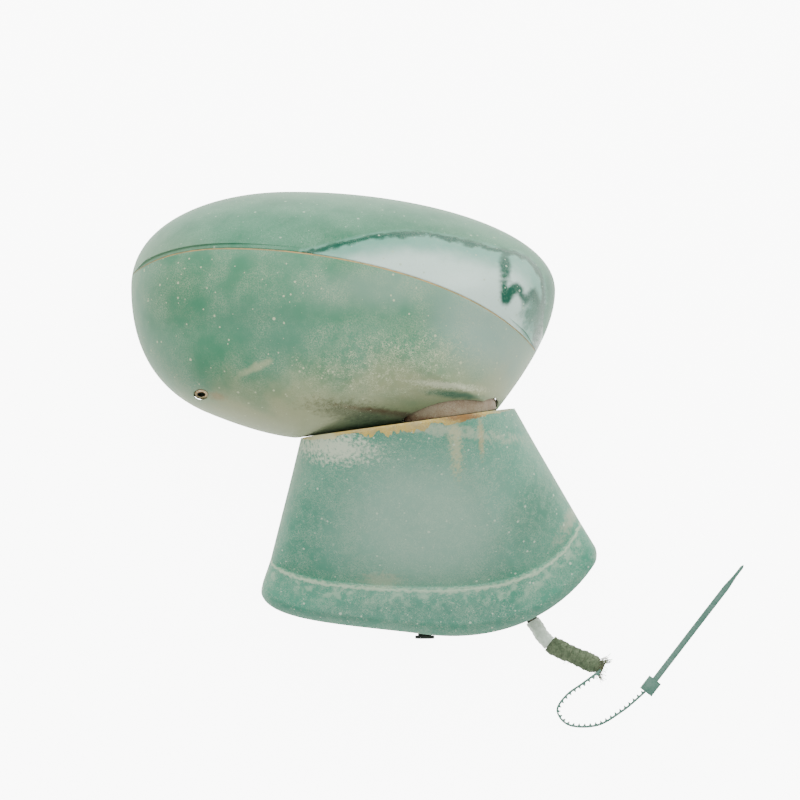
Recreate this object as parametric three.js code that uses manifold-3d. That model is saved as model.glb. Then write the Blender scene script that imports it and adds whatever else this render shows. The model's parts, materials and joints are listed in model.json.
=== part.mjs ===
// A right-hand car door mirror: a two-piece head that folds on a door-mounted foot, with
// electrically adjusted glass and a short cut-off harness. Millimetres, +Z up.
// +X is the car's forward, +Y points at the door, and the origin is the door face's middle.
import * as THREE from "three";
import { mergeVertices } from "three/addons/utils/BufferGeometryUtils.js";
import Module from "manifold-3d";

const wasm = await Module();
wasm.setup();

// ---------------------------------------------------------------- driving dimensions
const GAP = 0.3; // clearance kept between touching pieces
const WALL = 2.6; // moulded housings

// Fold joint: its plane leans with the top of the foot.
const PIVOT = new THREE.Vector3(11.4, -54, 64.7);
const TILT = THREE.MathUtils.degToRad(7.92);

// Head: rim on the door side, dome on the outboard side.
const RIM_Y = -2;
const BELT_Y = -14; // widest section of the head
const HEAD_DEPTH = 104;
const RIM_SCALE = 0.982; // the rim curls in this much from the belt
const CROWN = new THREE.Vector2(-50, 118);
const DOME_ROUND = 2.3; // superellipse exponent of the dome
const DOME_SQUARE = 0.9; // added to it along the foot
const SEAM = 0.8; // parting gap between cap and lower shell

// Glass and actuator, about the middle of the glass.
const GLASS = new THREE.Vector3(-50, -28, 120); // gimbal centre
const GLASS_Y = -16; // reflecting face
const JACK_ARM = 26; // jack screws' distance from the gimbal centre

// Foot: depth of its front face below the platform and at the step above the band.
const FOOT_BACK_Y = -3;
const FOOT_TOP_BACK_Y = -18;
const FOOT_TOP_Y = -90;
const STEP_Y = -29;
const BAND_PROUD = 3.5;
const PLATE = 5; // bracket plate thickness

const GROMMET = [48, -27]; // x and z of the harness exit
const STUDS = [[-36, -22], [24, -30], [50, 10]]; // x and z of the mounting studs
const COVER_SCREWS = [[-46, 8], [0, -33], [58, -8]]; // x and z of the cover's screws
const SHELL_SCREWS = [[-60, 88], [-25, 88]]; // head frame to lower shell
const CAP_SCREW = [-50, 166]; // head frame to cap
const ACTUATOR_SCREWS = [[-83, 87], [-19, 151], [-83, 151]];

const SCREW = { shank: 1.8, hole: 2.1, head: 3.8, post: 4 };
const FRAME = { front: -67, back: -64 }; // head frame plate

// Heights along the fold axis, from the joint plane.
const BOSS_TOP = -0.2;
const BORE = 8.4; // clearance holes round the pivot tube
const COLLAR = { outer: 26, skirt: 22.5, low: 0.6, seat: 3.9, top: 11 };
const HUB = { flange: 17, low: 11.3, seat: 15.5, cup: 15, bore: 12.5, top: 30 };
const TUBE = { bore: 6, outer: 8, flange: 13, low: -16, seat: -13.3, top: 44 };

const WIRES = 7; // harness bundle diameter
const SLEEVE = 8.2;
const LOOM = 10.4;

// ---------------------------------------------------------------- materials
const GREEN_PAINT = { color: 0x87a993, roughness: 0.35, metalness: 0.0 };
const GREEN_PLASTIC = { color: 0x7fa38c, roughness: 0.75, metalness: 0.0 };
const CHALKY_PLASTIC = { color: 0xabc2b2, roughness: 0.85, metalness: 0.0 };
const DARK_PLASTIC = { color: 0x2f3b38, roughness: 0.6, metalness: 0.0 };
const WHITE_PLASTIC = { color: 0xd0dfca, roughness: 0.5, metalness: 0.0 };
const RUBBER = { color: 0x26302d, roughness: 0.9, metalness: 0.0 };
const CAST = { color: 0x9aa5a0, roughness: 0.55, metalness: 0.9 };
const STEEL = { color: 0xa7aca8, roughness: 0.4, metalness: 1.0 };
const BRASS = { color: 0xb59a5a, roughness: 0.4, metalness: 1.0 };
const MIRROR = { color: 0xdfe6e4, roughness: 0.04, metalness: 1.0 };
const CLOTH = { color: 0x727f65, roughness: 0.95, metalness: 0.0 };

// ---------------------------------------------------------------- solid helpers
/** Closed geometry to a manifold solid, with collapsed triangles dropped and faces outward. */
function solid(geometry) {
  const bare = geometry.clone();
  bare.deleteAttribute("normal");
  bare.deleteAttribute("uv");
  const merged = mergeVertices(bare, 1e-3);
  const at = merged.attributes.position;
  const corners = [new THREE.Vector3(), new THREE.Vector3(), new THREE.Vector3()];
  const kept = [];
  let volume = 0;
  for (let i = 0; i < merged.index.count; i += 3) {
    const [a, b, c] = [0, 1, 2].map((k) => merged.index.getX(i + k));
    if (a === b || b === c || c === a) continue;
    kept.push(a, b, c);
    [a, b, c].forEach((v, k) => corners[k].fromBufferAttribute(at, v));
    volume += corners[0].dot(corners[1].cross(corners[2]));
  }
  if (volume < 0) kept.reverse();
  return new wasm.Manifold(new wasm.Mesh({
    numProp: 3,
    vertProperties: new Float32Array(at.array),
    triVerts: new Uint32Array(kept),
  }));
}

/** Manifold solid back to a flat-shaded three.js geometry. */
function geometryOf(body) {
  const mesh = body.getMesh();
  const geometry = new THREE.BufferGeometry();
  geometry.setAttribute("position", new THREE.BufferAttribute(mesh.vertProperties, mesh.numProp));
  geometry.setIndex(new THREE.BufferAttribute(mesh.triVerts, 1));
  geometry.computeVertexNormals();
  return geometry;
}

const cut = (body, ...tools) => tools.reduce((left, tool) => left.subtract(tool), body);
const join = (body, ...others) => others.reduce((sum, other) => sum.add(other), body);

/** Named mesh for one sub-part, hung on its group. */
function piece(parent, name, body, finish) {
  const mesh = new THREE.Mesh(geometryOf(body), new THREE.MeshStandardMaterial(finish));
  mesh.name = name;
  parent.add(mesh);
  return mesh;
}

/** Turned solid about local Z from [radius, height] pairs, starting and ending on the axis. */
function turned(profile, sides = 16) {
  const points = profile.map(([r, h]) => new THREE.Vector2(r, h));
  return solid(new THREE.LatheGeometry(points, sides).rotateX(Math.PI / 2));
}

/** Flat-ended ring or rod about local Z. */
function ring(inner, outer, low, high, sides = 16) {
  if (inner === 0) return turned([[0, low], [outer, low], [outer, high], [0, high]], sides);
  return turned([[inner, low], [outer, low], [outer, high], [inner, high], [inner, low]], sides);
}

function box(x0, x1, y0, y1, z0, z1) {
  const size = new THREE.BoxGeometry(x1 - x0, y1 - y0, z1 - z0);
  return solid(size.translate((x0 + x1) / 2, (y0 + y1) / 2, (z0 + z1) / 2));
}

/** Rod along Y between two depths. */
function rodY(x, z, radius, y0, y1, sides = 12) {
  const rod = new THREE.CylinderGeometry(radius, radius, y1 - y0, sides);
  return solid(rod.translate(x, (y0 + y1) / 2, z));
}

/** Plate of an x-z outline between two depths, with holes of the same kind of outline. */
function plateY(outline, y0, y1, holes = []) {
  const shape = new THREE.Shape(outline);
  shape.holes = holes.map((hole) => new THREE.Path(hole));
  const plate = new THREE.ExtrudeGeometry(shape, { depth: y1 - y0, bevelEnabled: false });
  return solid(plate.rotateX(Math.PI / 2).translate(0, y1, 0));
}

/** Plate of a y-z outline between two places in x. */
function plateX(outline, x0, x1) {
  const plate = new THREE.ExtrudeGeometry(new THREE.Shape(outline.map(([y, z]) => new THREE.Vector2(y, z))),
    { depth: x1 - x0, bevelEnabled: false });
  const axes = new THREE.Matrix4().makeBasis(
    new THREE.Vector3(0, 1, 0), new THREE.Vector3(0, 0, 1), new THREE.Vector3(1, 0, 0));
  return solid(plate.applyMatrix4(axes).translate(x0, 0, 0));
}

/** Rounded rectangle outline in x and z. */
function slab(x0, x1, z0, z1, corner) {
  const shape = new THREE.Shape();
  shape.absarc(x1 - corner, z1 - corner, corner, 0, Math.PI / 2);
  shape.absarc(x0 + corner, z1 - corner, corner, Math.PI / 2, Math.PI);
  shape.absarc(x0 + corner, z0 + corner, corner, Math.PI, 1.5 * Math.PI);
  shape.absarc(x1 - corner, z0 + corner, corner, 1.5 * Math.PI, 2 * Math.PI);
  return shape.getPoints(3);
}

/** Screw along Y: its head starts at a depth, and the shank runs the other way to the tip. */
function screwY([x, z], seat, headEnd, tip, radius = SCREW.head) {
  const head = rodY(x, z, radius, Math.min(seat, headEnd), Math.max(seat, headEnd), 12);
  const root = seat + Math.sign(headEnd - seat); // 1 mm inside the head
  return head.add(rodY(x, z, SCREW.shank, Math.min(root, tip), Math.max(root, tip), 10));
}

/** Round or oval outline about a point of the x-z plane. */
function oval(x, z, halfWidth, halfHeight, sides = 16) {
  const curve = new THREE.EllipseCurve(x, z, halfWidth, halfHeight, 0, 2 * Math.PI);
  return curve.getPoints(sides).slice(0, sides);
}

/** Tube or bar: a flat section swept along a curve. */
function swept(section, curve, steps) {
  return solid(new THREE.ExtrudeGeometry(new THREE.Shape(section), { extrudePath: curve, steps }));
}

const route = (...points) => new THREE.CatmullRomCurve3(points.map((p) => new THREE.Vector3(...p)));

const foldMatrix = new THREE.Matrix4().makeTranslation(PIVOT)
  .multiply(new THREE.Matrix4().makeRotationY(-TILT));

/** Solid moved from the fold frame (Z on the fold axis, zero on the joint plane). */
const inFold = (body) => body.transform(foldMatrix.elements);

/** Height of the joint plane over a place in x. */
const jointZ = (x) => PIVOT.z + (x - PIVOT.x) * Math.tan(TILT);

// ---------------------------------------------------------------- outlines in x and z
const bezier = (...p) => new THREE.CubicBezierCurve(...p.map(([x, z]) => new THREE.Vector2(x, z)));

/** Points of each curve in turn, leaving out the last point of each. */
function sampled(curves) {
  return curves.flatMap(([curve, count]) => curve.getPoints(count).slice(0, count));
}

/** Closed outline moved inward, corners kept sharp. */
function inset(points, distance) {
  return points.map((point, i) => {
    const before = points[(i + points.length - 1) % points.length];
    const after = points[(i + 1) % points.length];
    const into = point.clone().sub(before).normalize();
    const out = after.clone().sub(point).normalize();
    const miter = into.clone().add(out).normalize();
    const inward = new THREE.Vector2(-miter.y, miter.x);
    return point.clone().addScaledVector(inward, distance / miter.dot(out));
  });
}

const HEAD_HEEL = [-76, jointZ(-76)]; // where the head's lower edge meets the foot
const HEAD_TOE = [38, jointZ(38)]; // and where it leaves it

/** Head outline, anticlockwise seen from outboard, starting at the toe. */
function headOutline() {
  return sampled([
    [bezier(HEAD_TOE, [50, 84], [71, 112], [71.2, 136]), 7],
    [bezier([71.2, 136], [71.5, 172], [-10, 193], [-80, 192.5]), 12],
    [bezier([-80, 192.5], [-125, 192.5], [-170, 175], [-170, 138]), 8],
    [bezier([-170, 138], [-170, 104], [-156, 80], [-128, 67.5]), 8],
    [bezier([-128, 67.5], [-110, 60], [-92, 54], HEAD_HEEL), 3],
    [new THREE.LineCurve(new THREE.Vector2(...HEAD_HEEL), new THREE.Vector2(...HEAD_TOE)), 6],
  ]);
}

/** Glass outline, grown or shrunk about its middle. */
function glassOutline(growth) {
  const middle = new THREE.Vector2(-51, 126);
  const half = new THREE.Vector2(102, 50);
  const factor = new THREE.Vector2(growth, growth).divide(half).addScalar(1);
  return sampled([
    [bezier([50, 130], [50, 160], [-10, 177], [-75, 176]), 9],
    [bezier([-75, 176], [-120, 175], [-153, 160], [-153, 134]), 8],
    [bezier([-153, 134], [-153, 105], [-140, 86], [-108, 80]), 7],
    [bezier([-108, 80], [-70, 73], [-20, 76], [10, 86]), 5],
    [bezier([10, 86], [38, 95], [50, 112], [50, 130]), 6],
  ]).map((p) => p.sub(middle).multiply(factor).add(middle));
}

/** Parting line between the painted cap and the lower shell, from left to right. */
const seamLine = () => [
  ...sampled([
    [bezier([-176, 139], [-162, 153], [-140, 158.6], [-115, 158.6]), 8],
    [bezier([-115, 158.6], [-45, 158.6], [38, 136], [64, 96]), 16],
  ]),
  new THREE.Vector2(64, 96),
];

// ---------------------------------------------------------------- the head's dome
/** Exponent of the dome's profile: squarer low down, where the head sits on the foot. */
function domePower(edge) {
  const low = THREE.MathUtils.smoothstep(-edge.y, -120, -50);
  return DOME_ROUND + DOME_SQUARE * low;
}

/** Solid dome over an outline: a lathe whose turns follow the outline's points. */
function dome(outline, rimY, depth) {
  const rings = 8;
  const profile = [new THREE.Vector2(0, -1), new THREE.Vector2(RIM_SCALE, -1)];
  for (let i = 0; i <= rings; i += 1) {
    const turn = (i / rings) * (Math.PI / 2);
    profile.push(new THREE.Vector2(i === rings ? 0 : Math.cos(turn), Math.sin(turn)));
  }
  const geometry = new THREE.LatheGeometry(profile, outline.length);
  const at = geometry.attributes.position;
  for (let i = 0; i < at.count; i += 1) {
    const radius = Math.hypot(at.getX(i), at.getZ(i));
    const turn = Math.atan2(at.getX(i), at.getZ(i)) / (2 * Math.PI);
    const edge = outline[(Math.round(turn * outline.length) + outline.length) % outline.length];
    const rise = at.getY(i);
    const power = 2 / domePower(edge);
    const spread = rise <= 0 ? radius : radius ** power;
    const y = rise <= 0 ? BELT_Y - rise * (rimY - BELT_Y) : BELT_Y - rise ** power * (depth + BELT_Y - RIM_Y);
    at.setXYZ(i, CROWN.x + spread * (edge.x - CROWN.x), y, CROWN.y + spread * (edge.y - CROWN.y));
  }
  return solid(geometry);
}

const outline = headOutline();
const domeOuter = dome(outline, RIM_Y, HEAD_DEPTH);
const domeInner = dome(inset(outline, WALL), RIM_Y + 5, HEAD_DEPTH - WALL);
const aboveJoint = (height) => inFold(box(-250, 150, -150, 150, height, 260));

/** Everything above the seam line, lowered by a drop. */
function aboveSeam(drop) {
  const line = seamLine().map((p) => new THREE.Vector2(p.x, p.y - drop));
  const over = [new THREE.Vector2(120, 96 - drop), new THREE.Vector2(120, 260)];
  return plateY([...line, ...over, new THREE.Vector2(-230, 260), new THREE.Vector2(-230, 139)], -150, 20);
}

// ---------------------------------------------------------------- groups and bodies
const mirror = new THREE.Group();
const foot = new THREE.Group();
const head = new THREE.Group();
const foldParts = new THREE.Group(); // pieces about the fold axis
foldParts.position.copy(PIVOT);
foldParts.rotation.y = -TILT;
const actuator = new THREE.Group(); // pieces about the gimbal centre
actuator.position.copy(GLASS);
mirror.add(foot, head, foldParts, actuator);

// ---------------------------------------------------------------- head shells
const DRAIN = [-128.2, 77.2]; // oval drain hole in the lower shell

/** Posts inside the dome that take the head frame's screws. */
function shellPosts(places) {
  const posts = places.map(([x, z]) => rodY(x, z, SCREW.post, -110, FRAME.front - GAP));
  return posts.map((post) => post.intersect(domeOuter));
}
const postHoles = (places) => places.map(([x, z]) => rodY(x, z, SCREW.hole, -78, -60));

const shell = domeOuter.subtract(domeInner);
const cap = join(shell.intersect(aboveSeam(0)), ...shellPosts([CAP_SCREW]));
piece(head, "upper_cap", cut(cap, ...postHoles([CAP_SCREW])), GREEN_PAINT);

const collarRecess = inFold(ring(0, COLLAR.outer + 1.5, -5, COLLAR.top + 1, 28));
const drainHole = plateY(oval(...DRAIN, 4.3, 3, 14), -110, -30);
const lowerShell = join(cut(shell, aboveSeam(SEAM)), ...shellPosts(SHELL_SCREWS));
piece(head, "lower_shell", cut(lowerShell, collarRecess, drainHole, ...postHoles(SHELL_SCREWS))
  .intersect(aboveJoint(0.5)), GREEN_PLASTIC);

/** Drain insert: an oval tube that follows the shell's slope, a little below its face. */
function drainInsert() {
  const below = dome(inset(outline, 0.7), RIM_Y, HEAD_DEPTH - 0.7);
  const deep = dome(inset(outline, WALL + 1.5), RIM_Y, HEAD_DEPTH - WALL - 1.5);
  const tube = plateY(oval(...DRAIN, 4, 2.7, 14), -110, -30, [oval(...DRAIN, 2.6, 1.4, 14).reverse()]);
  return tube.intersect(below).subtract(deep);
}
piece(head, "drain_insert", drainInsert(), WHITE_PLASTIC);

/** Bezel: a lip inside the rim that frames the glass. */
function bezel() {
  const opening = glassOutline(5).reverse();
  const body = plateY(inset(outline, WALL + GAP + 2), BELT_Y + 4, RIM_Y - 0.6, [opening]);
  return body.intersect(aboveJoint(WALL + 1.4));
}
piece(head, "glass_bezel", bezel(), DARK_PLASTIC);

// ---------------------------------------------------------------- head frame
function headFrame() {
  const { front, back } = FRAME;
  const main = plateY(slab(-94, -8, 80, 158, 8), front, back);
  const web = plateY(slab(-24, 12, 84, 112, 4), front, back);
  const finger = plateY(slab(-58, -42, 150, 174, 6), front, back);
  const spacers = ACTUATOR_SCREWS.map(([x, z]) => rodY(x, z, SCREW.post, back - 1, GLASS.y - 32.6));
  const hub = inFold(join(ring(0, HUB.flange, HUB.low, HUB.seat), ring(0, HUB.cup, HUB.low, HUB.top)));
  const holes = [...SHELL_SCREWS, CAP_SCREW, ...ACTUATOR_SCREWS]
    .map(([x, z]) => rodY(x, z, SCREW.hole, -80, -50));
  const window = plateY(slab(-66, -34, 104, 138, 8), -80, back + 1);
  const bores = inFold(join(
    ring(0, BORE, 0, 60), ring(0, HUB.bore, HUB.seat, 60), ring(0, HUB.cup, HUB.top, 60)));
  return cut(join(main, web, finger, hub, ...spacers), ...holes, window, bores);
}
piece(head, "head_frame", headFrame(), CAST);

[...SHELL_SCREWS, CAP_SCREW].forEach((place, i) => {
  piece(head, `frame_screw_${i + 1}`, screwY(place, FRAME.back + GAP, FRAME.back + 2.6, -76), STEEL);
});

// ---------------------------------------------------------------- fold joint
piece(foldParts, "pivot_tube", turned([
  [TUBE.bore, TUBE.low], [TUBE.flange, TUBE.low], [TUBE.flange, TUBE.seat], [TUBE.outer, TUBE.seat],
  [TUBE.outer, TUBE.top], [TUBE.bore, TUBE.top], [TUBE.bore, TUBE.low],
]), STEEL);
piece(foldParts, "detent_ring",
  ring(BORE + 0.4, COLLAR.skirt - 1, BOSS_TOP + GAP, COLLAR.seat - GAP), STEEL);
piece(foldParts, "pivot_collar", turned([
  [BORE, COLLAR.seat], [COLLAR.skirt, COLLAR.seat], [COLLAR.skirt, COLLAR.low],
  [COLLAR.outer, COLLAR.low], [COLLAR.outer, COLLAR.top - 1.5], [COLLAR.outer - 1.5, COLLAR.top],
  [BORE, COLLAR.top], [BORE, COLLAR.seat],
], 28), DARK_PLASTIC);

/** Compression spring round the pivot tube, between the head's hub and the washer. */
function foldSpring() {
  const wire = 1.05;
  const radius = 10.4;
  const steps = 54; // 4.5 turns of 12
  const [low, high] = [HUB.seat + wire + GAP, 35.1];
  const points = [];
  for (let i = 0; i <= steps; i += 1) {
    const angle = (i / 12) * 2 * Math.PI;
    points.push([radius * Math.cos(angle), radius * Math.sin(angle), low + (high - low) * (i / steps)]);
  }
  return swept(oval(0, 0, wire, wire, 6), route(...points), steps);
}
piece(foldParts, "fold_spring", foldSpring(), STEEL);
piece(foldParts, "spring_washer", ring(BORE, 14, 36.5, 38.7), STEEL);
piece(foldParts, "lock_nut", cut(ring(0, 12.5, 39, 43.4, 6), ring(0, BORE, 38, 45)), STEEL);

// ---------------------------------------------------------------- actuator, about the gimbal centre
const HOUSING = { half: 39, middle: -1, front: -8, open: -29.5, cover: -32, wall: 2 };
const GEAR = { outer: 9.5, root: 7.8, teeth: 24, low: -22, high: -16 };
const MOTOR = { radius: 8.5, from: 9, to: 31 };
const WORM_ARM = JACK_ARM - GEAR.outer - 3.5; // worm axes' distance from the gimbal centre
const LUG = { at: 16, to: 18.5, half: 2.5, hole: 1.6, pin: 1.2 };
const toActuator = ([x, z]) => [x - GLASS.x, z - GLASS.z];
const housingSlab = (shrink) => slab(
  HOUSING.middle - HOUSING.half + shrink, HOUSING.middle + HOUSING.half - shrink,
  HOUSING.middle - HOUSING.half + shrink, HOUSING.middle + HOUSING.half - shrink, 8 - shrink);

/** The same solid turned from local Z to local X. */
const alongX = (body) => body.rotate([0, 90, 0]);

/** Housing: a cup open toward the cover, with the yaw lugs on its front and posts inside. */
function actuatorHousing() {
  const { front, open, wall } = HOUSING;
  const walls = plateY(housingSlab(0), open, front);
  const inside = plateY(housingSlab(wall), open - 5, front - wall);
  const posts = ACTUATOR_SCREWS.map(toActuator).map(([x, z]) => rodY(x, z, 3.6, open, front - 1));
  const lugs = [-1, 1].map((side) => box(-LUG.half, LUG.half, front - 1, LUG.half,
    ...[side * LUG.at, side * LUG.to].sort((a, b) => a - b)));
  const pinBore = ring(0, LUG.hole, -LUG.to - 1, LUG.to + 1, 12);
  const jackHoles = [rodY(-JACK_ARM, 0, 2.8, -20, 0), rodY(0, -JACK_ARM, 2.8, -20, 0)];
  const screwHoles = ACTUATOR_SCREWS.map(toActuator).map(([x, z]) => rodY(x, z, SCREW.hole, -40, front - 5));
  return cut(join(cut(walls, inside), ...posts, ...lugs), pinBore, ...jackHoles, ...screwHoles);
}
piece(actuator, "actuator_housing", actuatorHousing(), DARK_PLASTIC);

const coverHoles = ACTUATOR_SCREWS.map(toActuator).map((place) => oval(...place, SCREW.hole, SCREW.hole).reverse());
piece(actuator, "actuator_cover", plateY(housingSlab(0), HOUSING.cover, HOUSING.open - GAP, coverHoles),
  DARK_PLASTIC);
ACTUATOR_SCREWS.forEach((place, i) => {
  const seat = FRAME.front - GAP;
  piece(head, `actuator_screw_${i + 1}`, screwY(place, seat, seat - 2.4, GLASS.y - 18), STEEL);
});

/** Spur gear about local Z, bored for its jack screw, turned to run along Y. */
function driveGear() {
  const points = [];
  for (let tooth = 0; tooth < GEAR.teeth; tooth += 1) {
    [[0, GEAR.root], [0.3, GEAR.outer], [0.55, GEAR.outer], [0.85, GEAR.root]].forEach(([part, radius]) => {
      const angle = ((tooth + part) / GEAR.teeth) * 2 * Math.PI;
      points.push(new THREE.Vector2(radius * Math.cos(angle), radius * Math.sin(angle)));
    });
  }
  return plateY(points, GEAR.low, GEAR.high, [oval(0, 0, 2.5, 2.5, 12).reverse()]);
}

/** Jack screw along Y: a rod with a ball that sits in the glass carrier's cup. */
function jackScrew() {
  const ball = Array.from({ length: 9 }, (_, i) => {
    const angle = -Math.PI / 2 + (i / 8) * Math.PI;
    return [i % 8 === 0 ? 0 : 3 * Math.cos(angle), 3 * Math.sin(angle)];
  });
  return join(turned(ball, 16), rodY(0, 0, 2, -26, -1, 12));
}

/** Worm about local Z, with ridges for its thread. */
function worm() {
  const profile = [[0, -7], [1, -7]];
  for (let z = -5.5; z < 4; z += 2.8) profile.push([2.2, z], [3, z + 0.8], [3, z + 1.4], [2.2, z + 2.2]);
  return turned([...profile, [1, 7], [1, MOTOR.from - GAP], [0, MOTOR.from - GAP]], 10);
}

/** Small motor about local Z, flattened on two sides. */
function motor() {
  const can = ring(0, MOTOR.radius, MOTOR.from, MOTOR.to, 20);
  return can.intersect(box(-9, 9, -7.4, 7.4, 0, 40));
}

const middleY = (GEAR.low + GEAR.high) / 2;
[["yaw", [-JACK_ARM, 0]], ["pitch", [0, -JACK_ARM]]].forEach(([name, [x, z]]) => {
  piece(actuator, `jack_screw_${name}`, jackScrew(), STEEL).position.set(x, 0, z);
  piece(actuator, `drive_gear_${name}`, driveGear(), WHITE_PLASTIC).position.set(x, 0, z);
});
piece(actuator, "worm_yaw", worm(), BRASS).position.set(-WORM_ARM, middleY, 0);
piece(actuator, "motor_yaw", motor(), STEEL).position.set(-WORM_ARM, middleY, 0);
piece(actuator, "worm_pitch", alongX(worm()), BRASS).position.set(0, middleY, -WORM_ARM);
piece(actuator, "motor_pitch", alongX(motor()), STEEL).position.set(0, middleY, -WORM_ARM);

/** Gimbal ring: two pins up and down for the housing's lugs, two left and right for the carrier's. */
function gimbalRing() {
  const band = plateY(oval(0, 0, 14, 14, 24), -2, 2, [oval(0, 0, 11, 11, 24).reverse()]);
  const pins = [ring(0, LUG.pin, 12.5, LUG.to - 0.2, 10), ring(0, LUG.pin, -LUG.to + 0.2, -12.5, 10)];
  return join(band, ...pins, ...pins.map(alongX));
}
piece(actuator, "gimbal_ring", gimbalRing(), DARK_PLASTIC);

const connector = box(HOUSING.middle + HOUSING.half + GAP, 45.5, -26, -16, 11, 25);
piece(actuator, "actuator_connector", connector, WHITE_PLASTIC);
piece(head, "head_loom", swept(oval(0, 0, 2.3, 2.3, 8),
  route([5, -54, 109.2], [4.2, -53.6, 117], [2.5, -51.5, 128], [0.5, -49.4, 136.6], [-3.6, -49, 137.4]), 8), CLOTH);

// ---------------------------------------------------------------- glass
piece(head, "mirror_glass", plateY(glassOutline(0), GLASS_Y - 2.2, GLASS_Y), MIRROR);
piece(head, "heater_pad", plateY(glassOutline(-4), GLASS_Y - 3.1, GLASS_Y - 2.5), RUBBER);

/** Glass carrier: a backing plate with the pitch lugs and the cups for the jack screws' balls. */
function glassCarrier() {
  const face = GLASS_Y - 3.4;
  const back = face - 2.5;
  const plate = plateY(glassOutline(-1), back, face);
  const cups = [[-JACK_ARM, 0], [0, -JACK_ARM]].map(([x, z]) => {
    const [cx, cz] = [x + GLASS.x, z + GLASS.z];
    return cut(rodY(cx, cz, 6, GLASS.y - 1.5, back + 1), rodY(cx, cz, 4.3, GLASS.y - 3, back));
  });
  const lugs = [-1, 1].map((side) => {
    const ends = [side * LUG.at, side * LUG.to].sort((a, b) => a - b).map((x) => x + GLASS.x);
    return box(...ends, GLASS.y - LUG.half, back + 1, GLASS.z - LUG.half, GLASS.z + LUG.half);
  });
  const bore = alongX(ring(0, LUG.hole, -LUG.to - 1, LUG.to + 1, 12)).translate([GLASS.x, GLASS.y, GLASS.z]);
  return cut(join(plate, ...cups, ...lugs), bore);
}
piece(head, "glass_carrier", glassCarrier(), DARK_PLASTIC);

// ---------------------------------------------------------------- foot cover
const FOOT_MIDDLE = new THREE.Vector2(2, 4); // the wall thickness is taken toward here
const STEP = 1; // how far down the step is, where 0 is the top and 2 the lower edge
const stepLeft = bezier([-91, -17], [-84, -30], [-40, -33.5], [0, -34]);
const stepRight = bezier([0, -34], [45, -34.5], [74, -24], [86, 4]);
const hemLeft = bezier([-96.5, -33], [-96.5, -52], [-50, -53], [0, -59.3]);
const hemRight = bezier([0, -59.3], [45, -64], [80, -44], [97, -14]);

/** Place on a curve that runs left to right in two halves. */
const halves = (left, right, across) => (
  across < 0.5 ? left.getPoint(across * 2) : right.getPoint(across * 2 - 1));

/** Place on the foot's outline net: across from 0 to 1, down from 0 to 2. */
function footNet(across, down) {
  const x = THREE.MathUtils.lerp(-73.4, 48, across);
  const top = new THREE.Vector2(x, jointZ(x) - 0.4);
  const step = halves(stepLeft, stepRight, across);
  if (down <= STEP) return top.lerp(step, down);
  return step.lerp(halves(hemLeft, hemRight, across), down - STEP);
}

const footBack = (down) => THREE.MathUtils.lerp(FOOT_TOP_BACK_Y, FOOT_BACK_Y,
  THREE.MathUtils.smoothstep(down, 0, 0.35));

/** Depth of the front at its fullest: sloping back to the step, then the proud band, then the hem. */
function footFront(down, proud) {
  if (down < STEP) return THREE.MathUtils.lerp(FOOT_TOP_Y, STEP_Y, Math.min(down / 0.98, 1));
  const hem = Math.max(down - 1.7, 0) / 0.3;
  return STEP_Y - proud + 3 * (down - STEP) + 7 * hem ** 2;
}

/** Share of the full depth across a row: round at the pivot end on top, a turned facet lower down. */
function footFullness(across, down) {
  const low = Math.min(down, 1);
  const peak = THREE.MathUtils.lerp(0.37, 0.44, low);
  const u = 2 * across - 1;
  if (u < peak) {
    const w = (peak - u) / (1 + peak);
    return (1 - w ** THREE.MathUtils.lerp(3.2, 7, low)) ** 0.4;
  }
  const w = (u - peak) / (1 - peak);
  const facet = (1 - 0.42 * w) * (1 - w ** 7) ** 0.4;
  return THREE.MathUtils.lerp(Math.sqrt(1 - w * w), facet, low);
}

/** Rows of the foot's net from the top to the hem. */
const FOOT_ROWS = [0, 0.03, 0.15, 0.3, 0.48, 0.66, 0.84, 0.98, 1, 1.4, 1.8, 2];

/** Foot's outer form, or with a skin its hollow, which runs out through the back. */
function footForm(skin) {
  const rows = FOOT_ROWS.length - 1;
  const geometry = new THREE.BoxGeometry(1, 1, 1, 16, 1, rows);
  const at = geometry.attributes.position;
  for (let i = 0; i < at.count; i += 1) {
    const across = (1 - Math.cos((at.getX(i) + 0.5) * Math.PI)) / 2;
    const down = FOOT_ROWS[Math.round((0.5 - at.getZ(i)) * rows)];
    const place = footNet(across, down).sub(FOOT_MIDDLE);
    if (skin > 0) place.multiply(new THREE.Vector2(1 - skin / 88, 1 - skin / 58));
    const back = footBack(down);
    const proud = skin > 0 ? 0 : BAND_PROUD; // the band is thick, so the hollow has no step
    const front = back + (footFront(down, proud) - back) * footFullness(across, down);
    const open = skin > 0 && down >= 0.3 ? 6 : back - skin;
    const y = at.getY(i) < 0 ? Math.min(front + skin, back - 0.4) : open;
    at.setXYZ(i, place.x + FOOT_MIDDLE.x, skin > 0 ? y : at.getY(i) < 0 ? front : back, place.y + FOOT_MIDDLE.y);
  }
  return solid(geometry);
}

const footOuter = footForm(0);
const DRAIN_PLUG = [-3, -12]; // x and y, under the hem
const hemZ = -59.2;

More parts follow.
